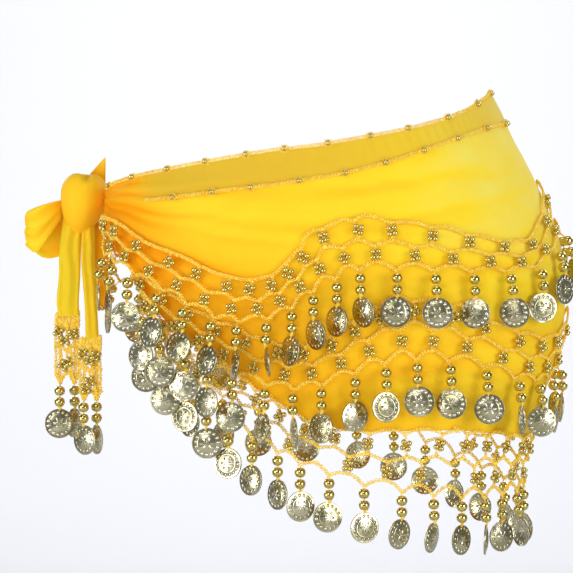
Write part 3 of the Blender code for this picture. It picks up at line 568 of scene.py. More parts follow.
class Graph:
    """Adds nodes to one material and joins them."""

    def __init__(self, name: str) -> None:
        """Starts a material with a Principled shader alone."""
        self.material = bpy.data.materials.new(name)
        self.material.use_nodes = True
        self.tree = self.material.node_tree
        self.shader = self.tree.nodes["Principled BSDF"]

    def add(self, kind: str, **settings: object) -> bpy.types.Node:
        """A new node of a kind, with its properties set."""
        node = self.tree.nodes.new("ShaderNode" + kind)
        for key, value in settings.items():
            setattr(node, key, value)
        return node

    def give(self, slot: Socket, value: Union[Value, Sequence[float]]) -> None:
        """Links a socket to an input, or sets the input's own value."""
        if isinstance(value, Socket):
            self.tree.links.new(value, slot)
        else:
            slot.default_value = value

    def set(self, **values: Union[Value, Sequence[float]]) -> None:
        """Gives the shader's inputs their values, with underscores for the spaces in their names."""
        for key, value in values.items():
            self.give(self.shader.inputs[key.replace("_", " ")], value)

    def math(self, operation: str, first: Value, second: Value = 0.0) -> Socket:
        """A Math node's value, from two sockets or numbers."""
        node = self.add("Math", operation=operation)
        self.give(node.inputs[0], first)
        self.give(node.inputs[1], second)
        return node.outputs[0]

    def plus(self, first: Value, second: Value) -> Socket:
        """The sum of two values."""
        return self.math("ADD", first, second)

    def minus(self, first: Value, second: Value) -> Socket:
        """The difference of two values."""
        return self.math("SUBTRACT", first, second)

    def times(self, first: Value, second: Value) -> Socket:
        """The product of two values."""
        return self.math("MULTIPLY", first, second)

    def least(self, first: Value, second: Value) -> Socket:
        """The smaller of two values."""
        return self.math("MINIMUM", first, second)

    def most(self, first: Value, second: Value) -> Socket:
        """The larger of two values."""
        return self.math("MAXIMUM", first, second)

    def mix(self, factor: Socket, low: Union[Socket, Colour], high: Union[Socket, Colour]) -> Socket:
        """A mix of two colours by a socket."""
        node = self.add("Mix", data_type="RGBA")
        self.give(node.inputs[0], factor)
        for slot, colour in ((node.inputs[6], low), (node.inputs[7], high)):
            self.give(slot, colour if isinstance(colour, Socket) else (*colour, 1))
        return node.outputs[2]

    def noise(self, source: Socket, scale: float, detail: float = 2) -> Socket:
        """A Noise texture's value on some coordinates."""
        node = self.add("TexNoise")
        self.give(node.inputs["Scale"], scale)
        self.give(node.inputs["Detail"], detail)
        self.give(node.inputs["Vector"], source)
        return node.outputs[0]

    def bump(self, height: Socket, distance: float, strength: float,
             under: Optional[Socket] = None) -> Socket:
        """A Bump node over a height, laid on another bump if one is given."""
        node = self.add("Bump")
        self.give(node.inputs["Distance"], distance)
        self.give(node.inputs["Strength"], strength)
        self.give(node.inputs["Height"], height)
        if under is not None:
            self.give(node.inputs["Normal"], under)
        return node.outputs[0]


@dataclass(frozen=True)
class ChiffonFinish:
    """Thin plain-woven chiffon, lighter where it is single, more orange where it is bunched, and more
    orange again where its tint carries painted shade.
    """

    name: str = "yellow_chiffon"
    light: Colour = (0.94, 0.73, 0.105)
    full: Colour = (0.98, 0.665, 0.024)
    deep: Colour = (0.97, 0.36, 0.002)
    olive: Colour = (0.67, 0.43, 0.030)
    full_gain: float = 3.3
    deep_start: float = 0.3
    deep_gain: float = 1.43
    drift_scale: float = 26
    drift_share: float = 0.16
    roughness: float = 0.62
    thread_pitch: float = 0.0004
    thread_depth: float = 0.00008
    crinkle_scale: float = 420
    crinkle_depth: float = 0.0004

    def make(self) -> bpy.types.Material:
        """The chiffon's material, which reads a piece's tint and band attributes and its UV map."""
        graph = Graph(self.name)
        tint = graph.add("Attribute", attribute_name="tint").outputs["Fac"]
        band = graph.add("Attribute", attribute_name="band").outputs["Fac"]
        place = graph.add("TexCoord")
        drift = graph.noise(place.outputs["Object"], self.drift_scale, 3)
        uneven = graph.times(graph.minus(drift, 0.5), self.drift_share)
        # The tint carries bunching and painted shade; a deeper tint mixes toward full and then deep
        # orange.
        depth = graph.math("POWER", graph.most(graph.plus(tint, uneven), 0.0), 0.6)
        colour = graph.mix(graph.times(depth, self.full_gain), self.light, self.full)
        deeper = graph.times(graph.minus(depth, self.deep_start), self.deep_gain)
        colour = graph.mix(deeper, colour, self.deep)
        colour = graph.mix(band, colour, self.olive)
        graph.set(Base_Color=colour, Roughness=self.roughness, Sheen_Weight=0.02, Sheen_Roughness=0.45,
                  Sheen_Tint=(1.0, 0.8, 0.3, 1), Subsurface_Weight=0.25, Subsurface_Scale=0.004,
                  Subsurface_Radius=(1.0, 0.45, 0.05), Specular_IOR_Level=0.10)
        weave = []
        for direction in ("X", "Y"):
            wave = graph.add("TexWave", bands_direction=direction)
            graph.give(wave.inputs["Scale"], math.tau / 20 / self.thread_pitch)
            graph.give(wave.inputs["Vector"], place.outputs["UV"])
            weave.append(wave.outputs[1])
        threads = graph.times(*weave)
        crinkle = graph.noise(place.outputs["UV"], self.crinkle_scale, 3)
        soft = graph.bump(crinkle, self.crinkle_depth, 0.5)
        graph.set(Normal=graph.bump(threads, self.thread_depth, 0.5, soft))
        return graph.material


@dataclass(frozen=True)
class ThreadFinish:
    """Soft twisted crochet thread."""

    name: str = "yellow_crochet_thread"
    light: Colour = (0.99, 0.82, 0.15)
    deep: Colour = (0.93, 0.50, 0.015)
    roughness: float = 0.75
    fibre_scale: float = 1400
    fibre_depth: float = 0.0003
    uneven_scale: float = 420

    def make(self) -> bpy.types.Material:
        """The thread's material, fibrous on Object coordinates."""
        graph = Graph(self.name)
        place = graph.add("TexCoord").outputs["Object"]
        fibres = graph.noise(place, self.fibre_scale, 3)
        uneven = graph.minus(graph.noise(place, self.uneven_scale), 0.38)
        shade = graph.plus(graph.times(uneven, 2.0), graph.times(fibres, 0.5))
        graph.set(Base_Color=graph.mix(shade, self.deep, self.light), Roughness=self.roughness,
                  Sheen_Weight=0.08, Specular_IOR_Level=0.15,
                  Normal=graph.bump(fibres, self.fibre_depth, 0.6))
        return graph.material


@dataclass(frozen=True)
class BeadFinish:
    """Shiny gold-plated beads with a slightly uneven skin."""

    name: str = "gold_beads"
    bright: Colour = (0.84, 0.70, 0.25)
    dull: Colour = (0.58, 0.46, 0.13)
    dent_scale: float = 320
    dent_depth: float = 0.0004
    roughness: float = 0.05
    dull_roughness: float = 0.14

    def make(self) -> bpy.types.Material:
        """The beads' material."""
        graph = Graph(self.name)
        cloud = graph.noise(graph.add("TexCoord").outputs["Object"], self.dent_scale)
        graph.set(Base_Color=graph.mix(cloud, self.dull, self.bright), Metallic=1.0,
                  Roughness=graph.plus(graph.times(cloud, self.dull_roughness), self.roughness),
                  Normal=graph.bump(cloud, self.dent_depth, 0.25))
        return graph.material


@dataclass(frozen=True)
class CoinFinish:
    """Thin stamped coins in pale antique gold, with a dotted rim, a faint ring and a rosette; the
    raised relief and scattered patches are painted brighter, partly as worn metal and partly as painted
    glints.

    Places on the coin are shares of its width, from its centre: its edge is at 0.5.
    """

    name: str = "antique_gold_coins"
    bright: Colour = (0.98, 0.92, 0.70)
    patina: Colour = (0.42, 0.39, 0.22)
    dots: int = 15
    dots_at: float = 0.385
    dot_size: float = 0.055
    ring_at: float = 0.305
    ring_width: float = 0.014
    petals: int = 6
    petal_middle: float = 0.16
    petal_wave: float = 0.07
    relief_depth: float = 0.0009
    hammered_scale: float = 105
    hammered_depth: float = 0.0030
    wear_and_glint_scale: float = 75
    wear_and_glint_most: float = 0.35
    roughness: float = 0.25
    bright_gloss: float = 0.10

    def dotted_rim(self, graph: Graph, angle: Socket, radius: Socket) -> Socket:
        """The height of a ring of round dots.

        Args:
            graph: the material's graph.
            angle: the angle round the coin, in turns.
            radius: the distance from the coin's centre.

        Returns:
            A socket from 0 to 1, 1 at the dots' tops.
        """
        turn = graph.math("FRACT", graph.times(angle, self.dots))
        across = graph.times(graph.minus(turn, 0.5), math.tau * self.dots_at / self.dots)
        out = graph.minus(radius, self.dots_at)
        square = graph.plus(graph.times(across, across), graph.times(out, out))
        share = graph.math("DIVIDE", square, self.dot_size * self.dot_size)
        return graph.most(graph.minus(1.0, share), 0.0)

    def rosette(self, graph: Graph, angle: Socket, radius: Socket) -> Socket:
        """The height of the petals in the middle, from the same angle and distance."""
        lobe = graph.math("COSINE", graph.times(angle, math.tau * self.petals))
        edge = graph.plus(graph.times(lobe, self.petal_wave), self.petal_middle)
        petal = graph.minus(edge, radius)
        return graph.least(graph.most(graph.times(petal, 5), 0.0), 0.5)

    def make(self) -> bpy.types.Material:
        """The coins' material, with its relief on each coin's own UV map."""
        graph = Graph(self.name)
        place = graph.add("TexCoord")
        parts = graph.add("SeparateXYZ")
        graph.give(parts.inputs[0], place.outputs["UV"])
        x = graph.minus(parts.outputs[0], 0.5)
        y = graph.minus(parts.outputs[1], 0.5)
        radius = graph.math("SQRT", graph.plus(graph.times(x, x), graph.times(y, y)))
        angle = graph.plus(graph.math("DIVIDE", graph.math("ARCTAN2", y, x), math.tau), 0.5)
        rim = self.dotted_rim(graph, angle, radius)
        away = graph.math("ABSOLUTE", graph.minus(radius, self.ring_at))
        ring = graph.times(graph.minus(self.ring_width, away), 6)
        petal = self.rosette(graph, angle, radius)
        relief = graph.most(graph.most(rim, ring), petal)
        # Bright patches, partly wear and partly painted reflections.
        wear_and_glint_noise = graph.noise(place.outputs["Object"], self.wear_and_glint_scale)
        wear_and_glint_patches = graph.times(graph.minus(wear_and_glint_noise, 0.42), 2.0)
        wear_and_glint_patches = graph.most(graph.least(wear_and_glint_patches, self.wear_and_glint_most), 0.0)
        # The relief and the patches are painted bright: partly worn metal, partly painted glints.
        tone = graph.least(graph.plus(graph.times(relief, 0.9), wear_and_glint_patches), 1.0)
        colour = graph.mix(tone, self.patina, self.bright)
        rough = graph.minus(self.roughness, graph.times(tone, self.bright_gloss))
        hammered = graph.noise(place.outputs["Object"], self.hammered_scale, 1)
        hammered = graph.bump(hammered, self.hammered_depth, 0.32)
        graph.set(Base_Color=colour, Metallic=1.0, Roughness=rough,
                  Normal=graph.bump(relief, self.relief_depth, 0.8, hammered))
        return graph.material


@dataclass(frozen=True)
class StudioFinish:
    """Pale paper for the floor and the wall behind."""

    name: str = "studio_paper"
    colour: Colour = (0.70, 0.70, 0.72)
    dim_share: float = 0.985

    def make(self) -> bpy.types.Material:
        """The paper's material."""
        graph = Graph(self.name)
        grain = graph.noise(graph.add("TexCoord").outputs["Object"], 3)
        dim = tuple(value * self.dim_share for value in self.colour)
        graph.set(Base_Color=graph.mix(grain, dim, self.colour), Roughness=0.9)
        return graph.material


class Finish(Enum):
    """The finishes of the scarf's pieces, each with its slot."""

    CHIFFON = ("chiffon", ChiffonFinish())
    THREAD = ("crochet_thread", ThreadFinish())
    BEAD = ("gold", BeadFinish())
    COIN = ("gold", CoinFinish())

    @property
    def slot(self) -> str:
        """The record's slot that the finish stands for."""
        return self.value[0]

    def make(self) -> bpy.types.Material:
        """The finish's material."""
        return self.value[1].make()


@dataclass
class Wardrobe:
    """Makes each finish once and dresses pieces in it."""

    made: dict[Finish, bpy.types.Material] = field(default_factory=dict)

    def dress(self, piece: bpy.types.Object, finish: Finish, node: str) -> None:
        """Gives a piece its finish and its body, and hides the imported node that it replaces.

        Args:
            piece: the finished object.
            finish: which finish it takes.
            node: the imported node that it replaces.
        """
        if finish not in self.made:
            self.made[finish] = finish.make()
        piece.data.materials.append(self.made[finish])
        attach(piece, "root")
        finish.slot
        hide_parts(node)


WARDROBE = Wardrobe()


# ---------------------------------------------------------------- mesh helpers


def in_scene(name: str, mesh: bpy.types.Mesh) -> bpy.types.Object:
    """A smooth-shaded object of a mesh, put in the scene."""
    mesh.shade_smooth()
    piece = bpy.data.objects.new(name, mesh)
    bpy.context.scene.collection.objects.link(piece)
    return piece


def to_object(name: str, bm: bmesh.types.BMesh, unit: float = METRES) -> bpy.types.Object:
    """An object from a mesh whose unit is a millimetre, or another size in metres."""
    bmesh.ops.scale(bm, vec=(unit, unit, unit), verts=bm.verts)
    mesh = bpy.data.meshes.new(name)
    bm.to_mesh(mesh)
    bm.free()
    return in_scene(name, mesh)


def axes_matrix(across: Vector, up: Vector, out: Vector, centre: Vector, size: float = 1.0) -> Matrix:
    """The matrix whose columns are three axes, scaled to a size, and a centre."""
    matrix = Matrix.Identity(4)
    for column, axis in enumerate((across * size, up * size, out * size, centre)):
        for row in range(3):
            matrix[row][column] = axis[row]
    return matrix


class Stamp:
    """A small shape that is repeated at many places as one mesh."""

    def __init__(self, bm: bmesh.types.BMesh) -> None:
        """Keeps the shape of a mesh that bmesh operators made, with its UV map if it has one."""
        bm.verts.index_update()
        self.corners = np.array([vert.co for vert in bm.verts])
        self.faces = [[vert.index for vert in face.verts] for face in bm.faces]
        layer = bm.loops.layers.uv.active
        self.uv = None
        if layer is not None:
            self.uv = np.array([loop[layer].uv for face in bm.faces for loop in face.loops])
        bm.free()

    def build(self, name: str, places: Sequence[Matrix]) -> bpy.types.Object:
        """One object that repeats the shape.

        Args:
            name: the object's name.
            places: a matrix in millimetres for each copy.

        Returns:
            The object.
        """
        parts, faces = [], []
        for number, place in enumerate(places):
            turn = np.array(place)
            parts.append(self.corners @ turn[:3, :3].T + turn[:3, 3])
            first = number * len(self.corners)
            faces.extend([index + first for index in face] for face in self.faces)
        mesh = bpy.data.meshes.new(name)
        mesh.from_pydata((np.concatenate(parts) * METRES).tolist(), [], faces)
        if self.uv is not None:
            layer = mesh.uv_layers.new(name="coin")
            layer.data.foreach_set("uv", np.tile(self.uv, (len(places), 1)).ravel())
        return in_scene(name, mesh)


def ball_shape(segments: int, rings: int, hole_depth: float = 0.0) -> Stamp:
    """A ball for a stitch or a bead, drawn in a little at a bead's two holes."""
    bm = bmesh.new()
    bmesh.ops.create_uvsphere(bm, u_segments=segments, v_segments=rings, radius=1)
    for vert in bm.verts:
        vert.co.z *= 1 - hole_depth * rising(0.75, 1.0, abs(vert.co.z))
    return Stamp(bm)


def thread_shape() -> Stamp:
    """A length of thread as a rod of unit length that runs down from its origin."""
    bm = bmesh.new()
    bmesh.ops.create_cone(bm, cap_ends=True, segments=6, radius1=1, radius2=1, depth=1)
    bmesh.ops.translate(bm, vec=(0, 0, -0.5), verts=bm.verts)
    return Stamp(bm)


def coin_shape(corners: int = 28, thickness: float = 0.10, dome: float = 0.17,
               sink: float = 0.11) -> Stamp:
    """A thin stamped coin of unit radius that faces +Z: a raised rim round a slightly domed face.

    Args:
        corners: how many corners its outline has.
        thickness: how thick it is.
        dome: how far its middle stands out past its edge.
        sink: how far it is set back, which brings its middle to the origin.

    Returns:
        The coin, with a UV map that is 1 across.
    """
    insets = ((0.03, 0.0), (0.03, -0.014), (0.24, 0.0), (0.24, 0.002), (0.22, 0.0))
    bm = bmesh.new()
    bmesh.ops.create_circle(bm, cap_ends=True, segments=corners, radius=1)
    for face in bm.faces:
        if face.normal.z > 0:
            face.normal_flip()
    front = bmesh.ops.extrude_face_region(bm, geom=list(bm.faces))["geom"]
    raised = [part for part in front if isinstance(part, bmesh.types.BMVert)]
    bmesh.ops.translate(bm, vec=(0, 0, thickness), verts=raised)
    bmesh.ops.recalc_face_normals(bm, faces=bm.faces)
    for side in (1, -1):
        face = next(f for f in bm.faces if f.normal.z * side > 0.9 and len(f.verts) == corners)
        for width, depth in insets:
            bmesh.ops.inset_region(bm, faces=[face], thickness=width, depth=depth)
        bmesh.ops.poke(bm, faces=[face])
    for vert in bm.verts:
        vert.co.z += dome * (1 - vert.co.x ** 2 - vert.co.y ** 2) - sink
    layer = bm.loops.layers.uv.new("coin")
    for face in bm.faces:
        for loop in face.loops:
            loop[layer].uv = (loop.vert.co.x / 2 + 0.5, loop.vert.co.y / 2 + 0.5)
    return Stamp(bm)


STITCH = ball_shape(6, 4)
PEARL = ball_shape(8, 6, 0.10)
BEAD = ball_shape(14, 9, 0.10)
THREAD = thread_shape()
COIN = coin_shape()


@dataclass
class Chain:
    """Crochet stitches in two rows along a line, with a filled middle if it is cored.

    The width is half the chain's own (mm). The stitches' sizes are shares of it and of the pitch.
    """

    pitch: float = 2.2
    width: float = 1.12
    cored: bool = False
    row_gap: float = 0.52
    stitch_length: float = 0.74
    stitch_width: float = 0.54
    stitch_height: float = 0.85
    slant: float = 0.5
    core: tuple[float, float, float] = (1.1, 0.62, 0.7)
    uneven: float = 0.25
    places: list[Matrix] = field(default_factory=list)

    def lay(self, points: Sequence[Vector], outs: Sequence[Vector], width: float = 0.0) -> None:
        """Adds stitches along a line.

        Args:
            points: the line's points.
            outs: the outward direction at each point.
            width: half the chain's width, if it isn't the usual one.
        """
        width = width or self.width
        lengths = [0.0]
        for before, after in zip(points, points[1:]):
            lengths.append(lengths[-1] + (after - before).length)
        count = max(int(lengths[-1] / self.pitch), 1)
        index = 0
        for step in range(count + 1):
            at = lengths[-1] * step / count
            while index < len(points) - 2 and lengths[index + 1] < at:
                index += 1
            share = (at - lengths[index]) / max(lengths[index + 1] - lengths[index], 1e-6)
            spot = points[index].lerp(points[index + 1], share)
            out = outs[index].lerp(outs[index + 1], share).normalized()
            tangent = (points[index + 1] - points[index]).normalized()
            self.stitch(step, spot, tangent, out, width)

    def stitch(self, step: int, spot: Vector, tangent: Vector, out: Vector, width: float) -> None:
        """Adds a pair of stitches at a step, each a little uneven, and the core under them."""
        side = out.cross(tangent).normalized()
        wobble = 0.3 * noise.noise(spot * 0.45)
        if self.cored:
            length, breadth, height = self.core
            self.places.append(axes_matrix(
                tangent * self.pitch * length, side * width * breadth, out * height, spot))
        for hand in (-1, 1):
            grain = noise.noise(spot * 1.3 + out * (3.0 * hand))
            tilt = self.slant + 0.3 * grain
            lean = tangent * math.cos(tilt) + side * hand * math.sin(tilt)
            across = out.cross(lean).normalized()
            aside = side * (hand * self.row_gap * width + wobble)
            grow = 1 + self.uneven * grain
            lift = out * (0.25 * (step % 2) + 0.2 * grain)
            self.places.append(axes_matrix(
                lean * self.pitch * self.stitch_length * grow,
                across * width * self.stitch_width * grow,
                out * self.stitch_height,
                spot + aside + lift,
            ))

    def build(self, name: str) -> bpy.types.Object:
        """The chain's object."""
        return STITCH.build(name, self.places)


# ---------------------------------------------------------------- cloth


def sheet_grid(name: str, columns: int, rows: int, place: Callable[[float, float], Vector],
               tone: Callable[[float, float], tuple[float, float]], cut: tuple[float, float],
               wall: float = 0.5) -> bpy.types.Object:
    """A sheet of cloth from a grid.

    Args:
        name: the object's name.
        columns: the grid's faces across.
        rows: the grid's faces up.
        place: the point in millimetres at a share across and up, both from 0 to 1.
        tone: how deep orange (bunching and painted shade) and how doubled the cloth looks, both 0 to 1.
        cut: the cloth's flat size in metres, which its UV map is laid out on.
        wall: the cloth's thickness in millimetres.

    Returns:
        The object, with modifiers for its thickness and its shading.
    """
    bm = bmesh.new()
    bmesh.ops.create_grid(bm, x_segments=columns, y_segments=rows, size=0.5, calc_uvs=True)
    layer = bm.loops.layers.uv.active or bm.loops.layers.uv.new("weave")
    tint, band = bm.verts.layers.float.new("tint"), bm.verts.layers.float.new("band")
    for face in bm.faces:
        for loop in face.loops:
            spot = loop.vert.co
            loop[layer].uv = ((spot.x + 0.5) * cut[0], (spot.y + 0.5) * cut[1])
    for vert in bm.verts:
        across, up = vert.co.x + 0.5, vert.co.y + 0.5
        vert[tint], vert[band] = tone(across, up)
        vert.co = place(across, up)
    piece = to_object(name, bm)
    solidify = piece.modifiers.new("wall", "SOLIDIFY")
    solidify.thickness = wall * METRES
    solidify.offset = 0
    piece.modifiers.new("even_shade", "WEIGHTED_NORMAL").weight = 95
    return piece


def fold_height(angle: float) -> float:
    """How high the second chain runs at an angle, where the turned-over band ends."""
    return read_table(on_side(angle, FOLD_CHAIN_FRONT, FOLD_CHAIN_BACK), angle).height


@dataclass
class ClothHalf:
    """The front or the back stretch of the gathered chiffon.

    `seat` is how far it stands off the hip, and the bunch values are shares of the deepest tint;
    the one for low down is partly painted shade beneath the nets.
    """

    name: str
    node: str
    first_angle: float
    last_angle: float
    columns: int
    rows: int
    cut: tuple[float, float]
    area: float
    seat: float = 0.85
    wide_bunch: float = 0.24
    low_bunch_and_shade: float = 0.24
    knot_bunch: float = 0.76
    corner_bunch: float = 0.20
    band_blur: float = 1.5

    def spot(self, across: float, up: float) -> tuple[float, float, ClothEdge]:
        """The angle, the height and the cloth's edges at a share across and up."""
        angle = self.first_angle + (self.last_angle - self.first_angle) * across
        edge = HIP.edge(angle)
        return angle, edge.hem + (edge.waist - edge.hem) * up, edge

    def place(self, across: float, up: float) -> Vector:
        """The cloth's middle at a share across and up."""
        angle, height, _ = self.spot(across, up)
        return HIP.point(angle, height, HIP.surface(angle, height) + self.seat - HIP.gather(angle))

    def tone(self, across: float, up: float) -> tuple[float, float]:
        """How deep orange and how doubled the cloth looks at a share across and up.

        It is deeper orange where it is bunched toward the knot and low down, with painted shade low
        down beneath the nets and in the valleys between folds, and doubled where its waist edge is
        turned over.
        """
        angle, height, edge = self.spot(across, up)
        distance, down = from_knot(angle), 1 - up
        # The tint low down is partly bunching and partly painted shade beneath the nets.
        bunched = self.wide_bunch * fading(80, 140, distance) + self.low_bunch_and_shade * rising(0.3, 0.75, down)
        bunched += self.knot_bunch * fading(16, 62, distance)
        bunched += self.corner_bunch * fading(64, 104, distance) * rising(0.25, 0.6, down)
        # Painted shade: the tint deepens in the hollows between folds and below where they stand out.
        step = 0.6 + 0.03 * (edge.waist - edge.hem)
        here, above, below = (HIP.surface(angle, height + shift) for shift in (0, step, -step))
        hollow, slant = max((above + below) / 2 - here, 0), max(above - here, 0)
        painted_valley_shade = (hollow * 0.6 + slant * 0.12) * 3.4 / (step + 1)
        line = fold_height(angle)
        doubled = rising(line - self.band_blur, line + self.band_blur, height)
        doubled *= rising(34, 52, distance)
        return min(bunched + painted_valley_shade, 1), (0.50 + 0.45 * fading(70, 130, distance)) * doubled

    def build(self) -> bpy.types.Object:
        """The dressed stretch of cloth."""
        piece = sheet_grid(self.name, self.columns, self.rows, self.place, self.tone, self.cut)
        WARDROBE.dress(piece, Finish.CHIFFON, self.node)
        LOG.info("%s: chiffon, cut %.2f by %.2f m", self.name, *self.cut)
        return piece


def waist_route(angle: float) -> tuple[Vector, Vector]:
    """A point of the chain on the waist edge, with its outward direction."""
    def edge_point(at: float) -> Vector:
        """The cloth's edge at an angle."""
        height = HIP.edge(at).waist
        return HIP.point(at, height, HIP.relief(at, height) + CLOTH_WALL / 2 - HIP.gather(at))

    spot = edge_point(angle)
    along = (edge_point(angle + 0.2) - edge_point(angle - 0.2)).normalized()
    away = HIP.axes(angle, spot.z)[1]
    upward = away.cross(along).normalized()
    return spot + upward * math.copysign(CHAIN_RADIUS, upward.z), away


def fold_route(angle: float) -> tuple[Vector, Vector]:
    """A point of the chain below the waist edge, with its outward direction."""
    height = fold_height(angle)
    out = HIP.over_cloth(angle, height, CHAIN_CLEARANCE)
    return HIP.point(angle, height, out), HIP.axes(angle, height)[1]


@dataclass
class BeadedChain:
    """A crocheted chain along the cloth with single beads on it, each in a ring of stitches."""

    name: str
    node: str
    route: Callable[[float], tuple[Vector, Vector]]
    first: float
    last: float
    offset: float = 12.0
    spacing: float = 31.0
    steps: int = 160
    bead_rise: float = 1.7
    ring_length: float = 2.6
    ring_stitch: float = 0.7

    def build(self) -> None:
        """The chain and its beads."""
        span = self.last - self.first
        spots = [self.route(self.first + span * i / self.steps) for i in range(self.steps + 1)]
        points, outs = zip(*spots)
        chain = Chain(pitch=2.3, width=1.2)
        chain.lay(points, outs)
        travelled, following, beads = 0.0, self.offset, []
        for before, point, out in zip(points, points[1:], outs[1:]):
            travelled += (point - before).length
            if travelled < following:
                continue
            following += self.spacing * (1 + 0.18 * noise.noise(point * 0.05))
            along = (point - before).normalized()
            side = out.cross(along)
            beads.append(axes_matrix(side, out, along, point + out * self.bead_rise, EDGE_BEAD))
            ring = [point + along * self.ring_length * math.cos(t) + side * EDGE_BEAD * math.sin(t)
                    for t in SIXTH_TURNS]
            chain.lay(ring, [out] * len(ring), self.ring_stitch)
        WARDROBE.dress(chain.build(self.name), Finish.THREAD, self.node)
        WARDROBE.dress(PEARL.build(self.name + "_beads", beads), Finish.BEAD, self.node)
        LOG.info("%s: %d stitches and %d beads", self.name, len(chain.places), len(beads))


# ---------------------------------------------------------------- the net


class Drop(NamedTuple):
    """A drop's place: where it starts, its directions and how its coin turns."""

    start: Vector
    along: Vector
    away: Vector
    lift: float
    step: float
    turn: float
    resting: Optional[Callable[[float], Vector]]
    seed: float


def apart(along: float) -> float:
    """How far a place along a net is from its nearest column, from 0 to 1."""
    return 2 * abs(along - round(along))


